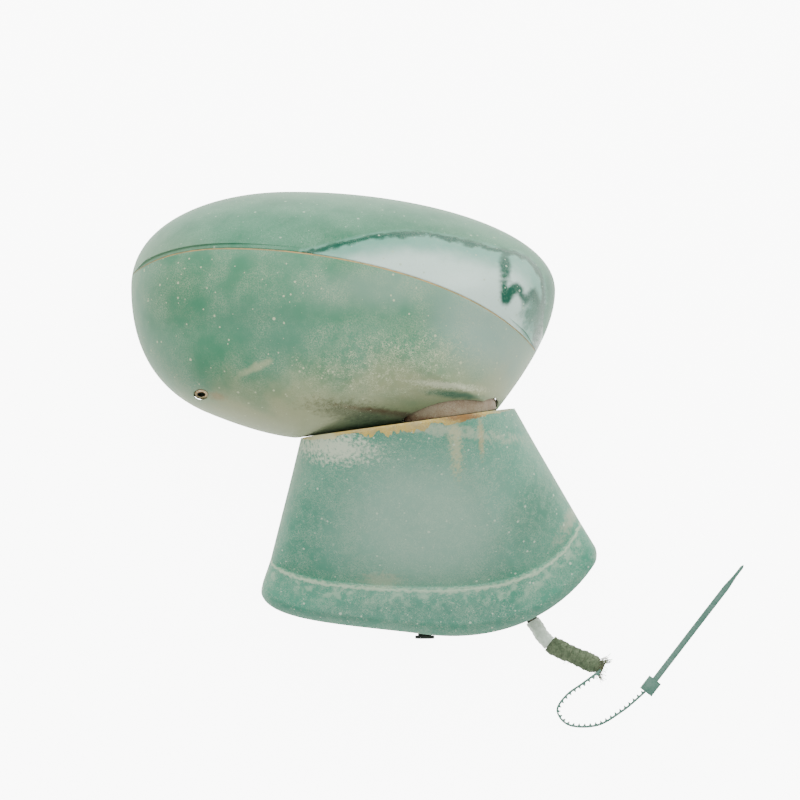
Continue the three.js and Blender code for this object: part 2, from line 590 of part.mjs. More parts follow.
/** Foot cover: a hollow moulding with a hole for the bracket's boss and three screw posts. */
function footCover() {
  const posts = COVER_SCREWS.map(([x, z]) => rodY(x, z, SCREW.post, -60, -PLATE - GAP).intersect(footOuter));
  const pilot = COVER_SCREWS.map(([x, z]) => rodY(x, z, SCREW.hole, -16, 0));
  const bossHole = inFold(ring(0, 24.2, -12, 4, 28));
  const plugHole = ring(0, 4.3, hemZ - 8, hemZ + 8).translate([DRAIN_PLUG[0], DRAIN_PLUG[1], 0]);
  return cut(join(cut(footOuter, footForm(WALL)), ...posts), ...pilot, bossHole, plugHole);
}
piece(foot, "foot_cover", footCover(), CHALKY_PLASTIC);
piece(foot, "drain_plug", turned([
  [0, hemZ - 2.6], [5.5, hemZ - 2.6], [5.6, hemZ - 0.9], [3.9, hemZ - 0.9], [3.9, hemZ + 5], [0, hemZ + 5],
]), RUBBER).position.set(...DRAIN_PLUG, 0);

/** Foam gasket round the cover's back edge. */
function mountGasket() {
  const edge = [];
  for (let i = 0; i < 16; i += 1) edge.push(footNet(i / 16, 2));
  for (let i = 0; i < 6; i += 1) edge.push(footNet(1, 2 - (i / 6) * 1.64));
  for (let i = 0; i < 10; i += 1) edge.push(footNet(1 - i / 10, 0.36));
  for (let i = 0; i < 6; i += 1) edge.push(footNet(0, 0.36 + (i / 6) * 1.64));
  const inner = edge.map((p) => p.clone().sub(FOOT_MIDDLE).multiply(new THREE.Vector2(0.91, 0.87)).add(FOOT_MIDDLE));
  const outer = edge.map((p) => p.clone().sub(FOOT_MIDDLE).multiply(new THREE.Vector2(0.985, 0.975)).add(FOOT_MIDDLE));
  return plateY(outer, FOOT_BACK_Y + GAP, 0, [inner.reverse()]);
}
piece(foot, "mount_gasket", mountGasket(), RUBBER);

// ---------------------------------------------------------------- foot bracket and its fasteners
/** Bracket: door plate, leaning arm and the boss under the fold joint. */
function footBracket() {
  const plate = plateY(slab(-52, 63, -39, 18, 10), -PLATE, 0);
  const arm = inFold(plateX([[-12, -8.8], [24, -8.8], [50, -42], [50, -80], [37, -60], [-12, -22]], -17, 17));
  const boss = inFold(ring(0, 23.6, -9.2, BOSS_TOP, 28));
  const bore = inFold(join(ring(0, BORE, -40, 4), ring(0, TUBE.flange + 0.6, -80, TUBE.seat + GAP)));
  const studs = STUDS.map(([x, z]) => rodY(x, z, 3.4, -12, 4));
  const screws = COVER_SCREWS.flatMap(([x, z]) => [rodY(x, z, SCREW.hole, -12, 4), rodY(x, z, 4.3, -3, 4)]);
  const clear = box(-60, 70, 0, 20, -60, 60); // nothing passes the door face
  return cut(join(plate, arm, boss), bore, ...studs, ...screws, rodY(...GROMMET, 8, -12, 4, 24), clear);
}
piece(foot, "foot_bracket", footBracket(), CAST);
STUDS.forEach(([x, z], i) => {
  const stud = join(rodY(x, z, 6, -PLATE - 4, -PLATE - GAP, 6), rodY(x, z, 3, -PLATE - 1, 20, 14));
  piece(foot, `mount_stud_${i + 1}`, stud, STEEL);
});
COVER_SCREWS.forEach((place, i) => {
  piece(foot, `cover_screw_${i + 1}`, screwY(place, -2.7, -0.4, -14), STEEL);
});

// ---------------------------------------------------------------- harness
/** Grommet moulded on the loom, its groove round the bracket's hole; local Z runs toward the door. */
const grommet = turned([
  [0, -8], [10, -8], [10, -PLATE - GAP], [7.6, -PLATE - GAP], [7.6, GAP], [10, GAP], [8.5, 2.5], [0, 2.5],
], 24).rotate([-90, 0, 0]);
piece(foot, "harness_grommet", grommet, RUBBER).position.set(GROMMET[0], 0, GROMMET[1]);
piece(foot, "foot_loom", swept(oval(0, 0, 3.4, 3.4, 10),
  route([48, -9, -27], [47.9, -14, -26], [42, -30, -6], [29, -42, 12], [16.5, -53, 30], [14, -54, 46]), 14), CLOTH);

const harnessRoute = route([48, 3.2, -27], [48.1, 8, -27.8], [51, 13, -36], [56, 13.5, -47],
  [62.5, 13, -58], [68, 12, -65], [76, 12, -69.5], [88, 12, -74.8], [99.5, 12, -80]);
const bundle = (width) => oval(0, 0, width / 2, width / 2, 8);
const harness = swept(bundle(WIRES), harnessRoute, 16);
piece(foot, "harness", harness, CLOTH);

/** Tube drawn over part of the harness, clear of it all round. */
function overHarness(width, from, to, steps) {
  const part = new THREE.CatmullRomCurve3(
    Array.from({ length: steps + 1 }, (_, i) => harnessRoute.getPointAt(from + (to - from) * (i / steps))));
  return swept(bundle(width), part, steps).subtract(swept(bundle(WIRES + 0.7), harnessRoute, 16));
}
piece(foot, "label_sleeve", overHarness(SLEEVE + 0.6, 0.4, 0.58, 4), WHITE_PLASTIC);
piece(foot, "loom_tape", overHarness(LOOM, 0.6, 0.97, 7), CLOTH);

/** Cable tie: a strap on edge that leaves the loom's end, loops, and passes its own head. */
function cableTie() {
  const y = 3.6;
  const strap = swept([[-1.8, -0.6], [1.8, -0.6], [1.8, 0.6], [-1.8, 0.6]].map((p) => new THREE.Vector2(...p)),
    route([98, y, -80.4], [88, y, -87.8], [78, y, -95.2], [73, y, -104], [80, y, -112], [96, y, -112],
      [110, y, -104], [119.7, y, -96], [125, y, -91]), 22);
  const lean = [0, -52.4, 0];
  const tail = box(0, 88, -0.6, 0.6, -1.8, 1.8);
  const block = box(-4, 5, -3.2, 3.2, -4, 4);
  return strap.add(join(tail, block).rotate(lean).translate([126, y, -90]));
}
piece(foot, "cable_tie", cableTie(), DARK_PLASTIC);

export default mirror;
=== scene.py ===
"""Looks of a weathered car door mirror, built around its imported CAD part.

The head's cap and shell, the foot cover, the harness and the cable tie are modelled here at full
detail; the other pieces are bevelled copies of their CAD nodes. Lengths are in metres, +X is the
car's forward, +Y points at the door and +Z is up.
"""

import json
import logging
import math
import random
from dataclasses import dataclass, field
from enum import Enum
from typing import Callable, Optional, Sequence, Union

import bmesh
import bpy
import numpy as np
from mathutils import Euler, Matrix, Vector


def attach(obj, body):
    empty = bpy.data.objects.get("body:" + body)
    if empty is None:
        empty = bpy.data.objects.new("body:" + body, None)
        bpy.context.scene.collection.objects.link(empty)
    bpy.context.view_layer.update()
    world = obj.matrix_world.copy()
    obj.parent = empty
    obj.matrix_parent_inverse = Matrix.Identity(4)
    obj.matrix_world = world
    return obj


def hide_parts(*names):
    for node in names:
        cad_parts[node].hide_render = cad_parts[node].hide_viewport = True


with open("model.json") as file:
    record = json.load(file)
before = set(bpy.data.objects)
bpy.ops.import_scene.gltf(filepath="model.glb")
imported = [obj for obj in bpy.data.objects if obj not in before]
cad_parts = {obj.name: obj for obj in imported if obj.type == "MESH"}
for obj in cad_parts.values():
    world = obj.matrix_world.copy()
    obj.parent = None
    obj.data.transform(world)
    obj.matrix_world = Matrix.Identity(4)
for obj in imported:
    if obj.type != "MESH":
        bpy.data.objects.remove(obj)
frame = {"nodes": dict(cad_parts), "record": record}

log = logging.getLogger("door_mirror")
MM = 0.001
# Pale tone of the painted sheen where a face turns away from the view.
EDGE_SHEEN = (214, 226, 206)
Place = Callable[[float, float], Vector]
Feed = Union[float, Sequence[float], bpy.types.NodeSocket]


class Body(Enum):
    """Bodies of the CAD part that pieces ride on."""

    FOOT = "foot"
    HEAD = "head"
    GLASS = "glass"
    GIMBAL = "gimbal"
    JACK_YAW = "jack_yaw"
    JACK_PITCH = "jack_pitch"
    GEAR_YAW = "gear_yaw"
    GEAR_PITCH = "gear_pitch"


class Slot(Enum):
    """Material slots of the record."""

    PAINT = "green_paint"
    SHELL = "green_plastic"
    FOOT = "chalky_plastic"
    DARK = "dark_plastic"
    WHITE = "white_plastic"
    RUBBER = "rubber"
    CAST = "cast_alloy"
    STEEL = "steel"
    BRASS = "brass"
    MIRROR = "mirror"
    CLOTH = "cloth_tape"


# ------------------------------------------------------------------ curves and forms
def bezier(points: Sequence[tuple], count: int = 60) -> np.ndarray:
    """Samples a cubic Bezier.

    Args:
        points: The four control points, x and z in millimetres.
        count: How many samples, both ends included.

    Returns:
        The samples, one row each, in metres.
    """
    a, b, c, d = (np.array(p, float) for p in points)
    t = np.linspace(0.0, 1.0, count)[:, None]
    return MM * ((1 - t) ** 3 * a + 3 * (1 - t) ** 2 * t * b + 3 * (1 - t) * t**2 * c + t**3 * d)


def chained(*curves: np.ndarray) -> np.ndarray:
    """Joins curves end to end, keeping each shared point once.

    Returns:
        All the curves' points in one array.
    """
    return np.vstack([curve[:-1] for curve in curves[:-1]] + [curves[-1]])


@dataclass
class Track:
    """A polyline that is read by its share of the whole length."""

    points: np.ndarray

    def __post_init__(self) -> None:
        """Measures the line."""
        steps = np.linalg.norm(np.diff(self.points, axis=0), axis=1)
        self.reach = np.concatenate([[0.0], np.cumsum(steps)])
        self.length = float(self.reach[-1])

    def at(self, share: float) -> np.ndarray:
        """Point at a share of the length from 0 to 1."""
        where = share * self.length
        return np.array([np.interp(where, self.reach, column) for column in self.points.T])


def smooth(low: float, high: float, value: float) -> float:
    """Smooth step from 0 at low to 1 at high."""
    t = min(max((value - low) / (high - low), 0.0), 1.0)
    return t * t * (3 - 2 * t)


def mix(a: float, b: float, share: float) -> float:
    """Straight blend from a to b."""
    return a + (b - a) * share


def open_between(share: float, end: float) -> float:
    """1 along a piece and 0 within a short end at both its ends, which closes it."""
    return 0.0 if share < end or share > 1 - end else 1.0


def squared(wave: float) -> float:
    """Turns a sine into a nearly square wave."""
    return math.copysign(abs(wave) ** 0.35, wave)


@dataclass
class FoldJoint:
    """The fold axis and the joint plane across it."""

    pivot: Vector = field(default_factory=lambda: Vector((11.4, -54.0, 64.7)) * MM)
    tilt: float = math.radians(7.92)

    @property
    def axis(self) -> Vector:
        """Unit direction of the fold axis."""
        return Vector((-math.sin(self.tilt), 0.0, math.cos(self.tilt)))

    def matrix(self) -> Matrix:
        """Frame with Z on the axis and its origin on the joint plane."""
        return Matrix.Translation(self.pivot) @ Matrix.Rotation(-self.tilt, 4, "Y")

    def height(self, x: float) -> float:
        """Height of the joint plane over a place in x."""
        return self.pivot.z + (x - self.pivot.x) * math.tan(self.tilt)


@dataclass
class HeadForm:
    """Outer form of the head: an outline in x and z under a superelliptic dome."""

    joint: FoldJoint
    crown: tuple = (-50 * MM, 118 * MM)
    belt_y: float = -14 * MM
    rim_y: float = -2 * MM
    depth: float = 92 * MM
    rim_scale: float = 0.982

    def __post_init__(self) -> None:
        """Draws the outline and measures it about the crown."""
        heel = (-76.0, self.joint.height(-76 * MM) / MM)
        toe = (38.0, self.joint.height(38 * MM) / MM)
        sole = MM * np.linspace(heel, toe, 40)
        self.outline = chained(
            bezier([toe, (50, 84), (71, 112), (71.2, 136)]),
            bezier([(71.2, 136), (71.5, 172), (-10, 193), (-80, 192.5)], 120),
            bezier([(-80, 192.5), (-125, 192.5), (-170, 175), (-170, 138)]),
            bezier([(-170, 138), (-170, 104), (-156, 80), (-128, 67.5)]),
            bezier([(-128, 67.5), (-110, 60), (-92, 54), heel]),
            sole,
        )
        away = self.outline[:-1] - np.array(self.crown)
        turn = np.unwrap(np.arctan2(away[:, 1], away[:, 0]))
        self.turns = turn
        self.radii = np.linalg.norm(away, axis=1)

    def turn(self, x: float, z: float) -> float:
        """Angle of a place about the crown, within the outline's own run of angles."""
        angle = math.atan2(z - self.crown[1], x - self.crown[0])
        while angle < self.turns[0]:
            angle += 2 * math.pi
        while angle > self.turns[0] + 2 * math.pi:
            angle -= 2 * math.pi
        return angle

    def radius(self, turn: float) -> float:
        """Distance from the crown to the outline at an angle."""
        turns = np.append(self.turns, self.turns[0] + 2 * math.pi)
        return float(np.interp(turn, turns, np.append(self.radii, self.radii[0])))

    def spread(self, x: float, z: float) -> float:
        """Share of the way from the crown to the outline."""
        return math.hypot(x - self.crown[0], z - self.crown[1]) / self.radius(self.turn(x, z))

    def y(self, x: float, z: float) -> float:
        """Depth of the dome's face over a place."""
        turn = self.turn(x, z)
        radius = self.radius(turn)
        edge_z = self.crown[1] + radius * math.sin(turn)
        power = 2.3 + 0.9 * smooth(-120 * MM, -50 * MM, -edge_z)
        share = min(math.hypot(x - self.crown[0], z - self.crown[1]) / radius, 1.0)
        return self.belt_y - self.depth * (1 - share**power) ** (1 / power)


@dataclass
class FootForm:
    """Outer form of the foot cover, from its top down to its hem."""

    joint: FoldJoint
    back_y: float = -3 * MM
    top_back_y: float = -18 * MM
    top_y: float = -90 * MM
    step_y: float = -29 * MM
    proud: float = 3.5 * MM

    def __post_init__(self) -> None:
        """Draws the ledge and the hem, each in two halves."""
        self.step = (
            bezier([(-91, -17), (-84, -30), (-40, -33.5), (0, -34)], 80),
            bezier([(0, -34), (45, -34.5), (74, -24), (86, 4)], 80),
        )
        self.hem = (
            bezier([(-96.5, -33), (-96.5, -52), (-50, -53), (0, -59.3)], 80),
            bezier([(0, -59.3), (45, -64), (80, -44), (97, -14)], 80),
        )

    @staticmethod
    def _halves(pair: tuple, across: float) -> np.ndarray:
        """Point on a curve that runs left to right in two halves."""
        curve = pair[0] if across < 0.5 else pair[1]
        where = (2 * across if across < 0.5 else 2 * across - 1) * (len(curve) - 1)
        low = min(int(where), len(curve) - 2)
        return curve[low] + (curve[low + 1] - curve[low]) * (where - low)

    @staticmethod
    def _rounded(across: float, down: float) -> tuple:
        """Pulls the hem's two corners in to a round."""
        reach_across, reach_down = 0.032, 0.26
        side = min(across, 1 - across)
        p = 1 - side / reach_across
        q = 1 - (2 - down) / reach_down
        if p <= 0 or q <= 0:
            return across, down
        shrink = max(p, q) / math.hypot(p, q)
        side = reach_across * (1 - p * shrink)
        return (side if across < 0.5 else 1 - side), 2 - reach_down * (1 - q * shrink)

    @staticmethod
    def top_x(across: float) -> float:
        """Place in x along the top edge."""
        return mix(-73.4 * MM, 48 * MM, across)

    def net(self, across: float, down: float) -> np.ndarray:
        """Place in x and z: across from 0 to 1, down from 0 at the top by 1 at the step to 2."""
        across, down = self._rounded(across, down)
        x = self.top_x(across)
        top = np.array([x, self.joint.height(x) - 0.4 * MM])
        step = self._halves(self.step, across)
        if down <= 1:
            return top + (step - top) * down
        return step + (self._halves(self.hem, across) - step) * (down - 1)

    def back(self, down: float) -> float:
        """Depth of the back edge."""
        return mix(self.top_back_y, self.back_y, smooth(0, 0.35, down))

    def front(self, down: float) -> float:
        """Depth of the front where it is fullest."""
        slope = mix(self.top_y, self.step_y, min(down / 0.98, 1.0))
        ledge = smooth(0.975, 1.0, down) * self.proud
        hem = max(down - 1.7, 0.0) / 0.3
        return slope - ledge + MM * (3 * max(down - 1, 0.0) + 7 * hem**2)

    @staticmethod
    def fullness(across: float, down: float) -> float:
        """Share of the full depth: round at the pivot end on top, a turned facet lower down."""
        low = min(down, 1.0)
        peak = mix(0.37, 0.44, low)
        u = 2 * across - 1
        if u < peak:
            return (1 - ((peak - u) / (1 + peak)) ** mix(3.2, 7, low)) ** 0.4
        w = min((u - peak) / (1 - peak), 1.0)
        return mix(math.sqrt(1 - w * w), (1 - 0.42 * w) * (1 - w**7) ** 0.4, low)

    def place(self, across: float, down: float, inward: float = 0.0) -> Vector:
        """Point of the front face, drawn back toward the door by a share."""
        x, z = self.net(across, down)
        back = self.back(down)
        full = self.fullness(across, down)
        return Vector((x, back + (self.front(down) - back) * full * (1 - inward), z))


# ------------------------------------------------------------------ meshes
def new_object(name: str, mesh: bmesh.types.BMesh) -> bpy.types.Object:
    """Puts a bmesh into a new object at the origin.

    Args:
        name: The object's name.
        mesh: The bmesh, which is freed.

    Returns:
        The linked object.
    """
    data = bpy.data.meshes.new(name)
    mesh.to_mesh(data)
    mesh.free()
    made = bpy.data.objects.new(name, data)
    bpy.context.scene.collection.objects.link(made)
    return made


def bent_grid(
    mesh: bmesh.types.BMesh, columns: int, rows: int, place: Place, marks: Optional[dict] = None
) -> list:
    """Adds a grid bent into a surface.

    Args:
        mesh: The bmesh to add to.
        columns: Faces along u.
        rows: Faces along v.
        place: Gives the point for u and v from 0 to 1.
        marks: Float attributes to fill, each a function of u and v.

    Returns:
        The new vertices.
    """
    floats = mesh.verts.layers.float
    layers = {key: floats.get(key) or floats.new(key) for key in marks or {}}
    made = bmesh.ops.create_grid(mesh, x_segments=columns, y_segments=rows, size=0.5, calc_uvs=True)["verts"]
    for vert in made:
        u = min(max(vert.co.x + 0.5, 0.0), 1.0)
        v = min(max(vert.co.y + 0.5, 0.0), 1.0)
        for key, layer in layers.items():
            vert[layer] = marks[key](u, v)
        vert.co = place(u, v)
    return made


def settle(mesh: bmesh.types.BMesh, weld: float = 1e-6) -> None:
    """Welds doubled points, drops collapsed faces and points all faces outward."""
    bmesh.ops.remove_doubles(mesh, verts=mesh.verts, dist=weld)
    bmesh.ops.dissolve_degenerate(mesh, edges=mesh.edges, dist=weld)
    bmesh.ops.recalc_face_normals(mesh, faces=mesh.faces)


def shade(thing: bpy.types.Object, crease: float = math.radians(40)) -> None:
    """Smooths an object's faces and keeps edges sharper than the crease angle."""
    mesh = bmesh.new()
    mesh.from_mesh(thing.data)
    for face in mesh.faces:
        face.smooth = True
    for edge in mesh.edges:
        edge.smooth = len(edge.link_faces) != 2 or edge.calc_face_angle(0.0) < crease
    mesh.to_mesh(thing.data)
    mesh.free()


def finished(
    name: str, mesh: bmesh.types.BMesh, weld: float = 1e-6, crease: float = math.radians(40)
) -> bpy.types.Object:
    """Settles a bmesh and puts it into a shaded object.

    Args:
        name: The object's name.
        mesh: The bmesh, which is freed.
        weld: Distance within which points are welded.
        crease: Angle from which edges stay sharp.

    Returns:
        The linked object.
    """
    settle(mesh, weld)
    made = new_object(name, mesh)
    shade(made, crease)
    return made


def thicken(thing: bpy.types.Object, wall: float, corners: Sequence[tuple] = ()) -> None:
    """Gives an open surface a wall on its inner side, which thins toward sharp corners.

    Args:
        thing: The surface.
        wall: The wall's thickness.
        corners: Places in x and z of the sharp corners.
    """
    group = thing.vertex_groups.new(name="wall")
    for vert in thing.data.vertices:
        away = min((math.hypot(vert.co.x - x, vert.co.z - z) for x, z in corners), default=1.0)
        group.add([vert.index], smooth(1 * MM, 14 * MM, away), "REPLACE")
    solidify = thing.modifiers.new("wall", "SOLIDIFY")
    solidify.thickness = wall
    solidify.offset = -1.0
    solidify.use_even_offset = False
    solidify.use_quality_normals = True
    solidify.vertex_group = "wall"
    solidify.thickness_vertex_group = 0.06


def baked(thing: bpy.types.Object) -> None:
    """Applies an object's modifiers to its mesh."""
    graph = bpy.context.evaluated_depsgraph_get()
    data = bpy.data.meshes.new_from_object(thing.evaluated_get(graph))
    thing.modifiers.clear()
    thing.data = data


def round_edges(thing: bpy.types.Object, width: float, angle: float) -> None:
    """Rounds the edges that are sharper than an angle in degrees."""
    bevel = thing.modifiers.new("edges", "BEVEL")
    bevel.width = width
    bevel.segments = 2
    bevel.limit_method = "ANGLE"
    bevel.angle_limit = math.radians(angle)
    baked(thing)


def carve(thing: bpy.types.Object, cutter: bpy.types.Object) -> None:
    """Cuts one object's form out of another and removes the cutter."""
    boolean = thing.modifiers.new("cut", "BOOLEAN")
    boolean.operation = "DIFFERENCE"
    boolean.solver = "EXACT"
    boolean.object = cutter
    baked(thing)
    bpy.data.objects.remove(cutter)


def rod(
    name: str, radius: float, depth: float, turn: Matrix, scale: Sequence[float] = (1, 1, 1)
) -> bpy.types.Object:
    """Round or oval rod for cutting, centred and turned by a matrix."""
    mesh = bmesh.new()
    bmesh.ops.create_cone(mesh, cap_ends=True, segments=72, radius1=radius, radius2=radius, depth=depth,
                          matrix=turn @ Matrix.Diagonal((*scale, 1)))
    return new_object(name, mesh)


def spline(points: Sequence[tuple], per_span: int = 14) -> np.ndarray:
    """Catmull-Rom curve through points given in millimetres.

    Returns:
        Samples in metres.
    """
    p = MM * np.array(points, float)
    p = np.vstack([2 * p[0] - p[1], p, 2 * p[-1] - p[-2]])
    spans = []
    for a, b, c, d in zip(p, p[1:], p[2:], p[3:]):
        t = np.linspace(0, 1, per_span, endpoint=False)[:, None]
        spans.append(0.5 * (2 * b + (c - a) * t + (2 * a - 5 * b + 4 * c - d) * t**2
                            + (3 * b - a - 3 * c + d) * t**3))
    return np.vstack(spans + [p[-2][None, :]])


@dataclass
class Sweep:
    """A curve with a steady frame along it, for tubes and straps."""

    track: Track
    start_normal: Vector = field(default_factory=lambda: Vector((1, 0, 0)))

    def __post_init__(self) -> None:
        """Carries the first normal along the curve without twist."""
        self.frames = []
        normal = self.start_normal
        shares = np.linspace(0, 1, 121)
        for share in shares:
            ahead = Vector(self.track.at(min(share + 0.004, 1.0)))
            behind = Vector(self.track.at(max(share - 0.004, 0.0)))
            tangent = (ahead - behind).normalized()
            normal = (normal - tangent * normal.dot(tangent)).normalized()
            self.frames.append((tangent, normal, tangent.cross(normal)))

    def point(self, share: float, a: float, b: float) -> Vector:
        """Point beside the curve: a along the normal, b along the binormal."""
        where = min(max(share, 0.0), 1.0) * (len(self.frames) - 1)
        low = min(int(where), len(self.frames) - 2)
        part = where - low
        normal = self.frames[low][1].lerp(self.frames[low + 1][1], part)
        binormal = self.frames[low][2].lerp(self.frames[low + 1][2], part)
        return Vector(self.track.at(share)) + normal * a + binormal * b


def add_tube(
    mesh: bmesh.types.BMesh, sweep: Sweep, radius: Callable[[float, float], float],
    span: tuple = (0.0, 1.0), sides: int = 24, rows: int = 80, offset: Callable = lambda s: (0.0, 0.0),
) -> None:
    """Adds a closed tube along part of a sweep.

    Args:
        mesh: The bmesh to add to.
        sweep: The curve and its frames.
        radius: Radius for a turn from 0 to 1 and a share along the curve.
        span: Where the tube starts and ends along the curve.
        sides: Faces round.
        rows: Faces along, the two end caps included.
        offset: Shift of the centre off the curve at a share.
    """
    def place(u: float, v: float) -> Vector:
        """Point of the tube for its turn and its row."""
        row = v * rows
        along = min(max((row - 1) / (rows - 2), 0.0), 1.0)
        share = mix(span[0], span[1], along)
        size = radius(u, share) * open_between(v, 0.5 / rows)
        shift = offset(share)
        angle = 2 * math.pi * u
        return sweep.point(share, shift[0] + size * math.cos(angle), shift[1] + size * math.sin(angle))

    bent_grid(mesh, sides, rows, place)


# ------------------------------------------------------------------ node graphs
def linear(colour: Sequence[float]) -> tuple:
    """Turns an 8-bit sRGB colour into linear RGBA."""
    parts = [c / 255 for c in colour]
    return (*[p / 12.92 if p <= 0.04045 else ((p + 0.055) / 1.055) ** 2.4 for p in parts], 1.0)


@dataclass
class Graph:
    """Short calls that build a node tree."""

    tree: bpy.types.NodeTree

    def node(self, kind: str, **settings) -> bpy.types.Node:
        """Adds a node and sets its properties."""
        made = self.tree.nodes.new(kind)
        for key, value in settings.items():
            setattr(made, key, value)
        return made

    def put(self, socket: bpy.types.NodeSocket, value: Feed) -> None:
        """Links a socket, or sets a constant on it."""
        if isinstance(value, bpy.types.NodeSocket):
            self.tree.links.new(value, socket)
        else:
            socket.default_value = value

    def math(
        self, operation: str, a: Feed, b: Feed = 0.0, c: Feed = 0.0, clamp: bool = False
    ) -> bpy.types.NodeSocket:
        """Math node on up to three values."""
        node = self.node("ShaderNodeMath", operation=operation, use_clamp=clamp)
        self.put(node.inputs[0], a)
        self.put(node.inputs[1], b)
        self.put(node.inputs[2], c)
        return node.outputs[0]

    def vector(self, operation: str, a: Feed, b: Feed = (0.0, 0.0, 0.0)) -> bpy.types.Node:
        """Vector math node."""
        node = self.node("ShaderNodeVectorMath", operation=operation)
        self.put(node.inputs[0], a)
        self.put(node.inputs[1], b)
        return node

    def step(self, value: Feed, low: float, high: float) -> bpy.types.NodeSocket:
        """Smooth step, 0 at low and 1 at high, either way round."""
        node = self.node("ShaderNodeMapRange", interpolation_type="SMOOTHSTEP")
        self.put(node.inputs["Value"], value)
        first, last = (low, high) if low < high else (high, low)
        node.inputs["From Min"].default_value = first
        node.inputs["From Max"].default_value = last
        node.inputs["To Min"].default_value = 0.0 if low < high else 1.0
        node.inputs["To Max"].default_value = 1.0 if low < high else 0.0
        return node.outputs["Result"]

    def noise(
        self, where: Feed, scale: float, detail: float = 3.0, twist: float = 0.0
    ) -> bpy.types.NodeSocket:
        """Noise from 0 to 1 at a scale in features per millimetre."""
        node = self.node("ShaderNodeTexNoise")
        self.put(node.inputs["Vector"], where)
        node.inputs["Scale"].default_value = scale
        node.inputs["Detail"].default_value = detail
        node.inputs["Distortion"].default_value = twist
        return node.outputs["Fac"]

    def wander(
        self, where: Feed, size: float, scale: float, detail: float = 3.0, twist: float = 0.0
    ) -> bpy.types.NodeSocket:
        """Noise about zero, size across from end to end."""
        centred = self.math("SUBTRACT", self.noise(where, scale, detail, twist), 0.5)
        return self.math("MULTIPLY", centred, size)

    def blend(self, share: Feed, a: Feed, b: Feed) -> bpy.types.NodeSocket:
        """Colour from a to b."""
        node = self.node("ShaderNodeMix", data_type="RGBA")
        self.put(node.inputs["Factor"], share)
        self.put(node.inputs["A"], a)
        self.put(node.inputs["B"], b)
        return node.outputs["Result"]

    def millimetres(self) -> bpy.types.NodeSocket:
        """Object coordinates in millimetres."""
        source = self.node("ShaderNodeTexCoord").outputs["Object"]
        node = self.vector("SCALE", source)
        node.inputs["Scale"].default_value = 1000.0
        return node.outputs[0]

    def attribute(self, name: str) -> bpy.types.NodeSocket:
        """A float attribute of the mesh."""
        return self.node("ShaderNodeAttribute", attribute_name=name).outputs["Fac"]

    def group(self, tree: bpy.types.NodeTree, **inputs) -> bpy.types.Node:
        """A group node with inputs set by name, underscores for spaces."""
        node = self.node("ShaderNodeGroup", node_tree=tree)
        for key, value in inputs.items():
            self.put(node.inputs[key.replace("_", " ")], value)
        return node


def empty_group(name: str, takes: dict, gives: dict) -> bpy.types.NodeTree:
    """Node group with its sockets and nothing in it yet.

    Args:
        name: The group's name.
        takes: Each input's label and kind of socket.
        gives: Each output's label and kind of socket.

    Returns:
        The node group.
    """
    tree = bpy.data.node_groups.new(name, "ShaderNodeTree")
    for way, sockets in (("INPUT", takes), ("OUTPUT", gives)):
        for label, kind in sockets.items():
            tree.interface.new_socket(name=label, in_out=way, socket_type=f"NodeSocket{kind}")
    return tree


def grime_group() -> bpy.types.NodeTree:
    """Group that lays fine dust, pale specks and hair-thin marks over a colour."""
    name = "grime"
    if name in bpy.data.node_groups:
        return bpy.data.node_groups[name]
    tree = empty_group(
        name,
        {"Colour": "Color", "Dust Colour": "Color", "Place": "Vector", "Dust": "Float", "Specks": "Float",
         "Hairs": "Float"},
        {"Colour": "Color", "Cover": "Float", "Height": "Float"},
    )
    graph = Graph(tree)
    given = graph.node("NodeGroupInput")
    place = given.outputs["Place"]
    fine = graph.noise(place, 1.6, 5.0)
    broad = graph.noise(place, 0.06, 3.0)
    cloud = graph.math("MULTIPLY", graph.step(fine, 0.35, 0.75), graph.step(broad, 0.3, 0.7))
    dust = graph.math("MULTIPLY", cloud, given.outputs["Dust"], clamp=True)
    cells = graph.node("ShaderNodeTexVoronoi")
    graph.put(cells.inputs["Vector"], place)
    cells.inputs["Scale"].default_value = 0.3
    size = graph.math("MULTIPLY", graph.math("POWER", cells.outputs["Color"], 3.0), 0.3)
    grains = graph.step(graph.math("SUBTRACT", cells.outputs["Distance"], size), 0.05, -0.02)
    specks = graph.math("MULTIPLY", grains, given.outputs["Specks"], clamp=True)
    swirl = graph.math("ABSOLUTE", graph.wander(place, 1.0, 0.34, 1.5, 1.3))
    curl = graph.math("ABSOLUTE", graph.wander(place, 1.0, 0.75, 1.0, 0.8))
    lines = graph.math("MAXIMUM", graph.step(swirl, 0.02, 0.005), graph.step(curl, 0.03, 0.008))
    broken = graph.math("MULTIPLY", lines, graph.step(graph.noise(place, 0.22, 2.0), 0.36, 0.52))
    hairs = graph.math("MULTIPLY", broken, given.outputs["Hairs"], clamp=True)
    cover = graph.math("MAXIMUM", dust, graph.math("MAXIMUM", specks, hairs))
    result = graph.node("NodeGroupOutput")
    dusted = graph.blend(cover, given.outputs["Colour"], given.outputs["Dust Colour"])
    graph.put(result.inputs["Colour"], dusted)
    graph.put(result.inputs["Cover"], cover)
    graph.put(result.inputs["Height"], graph.math("ADD", graph.math("MULTIPLY", fine, 0.35), cover))
    return tree


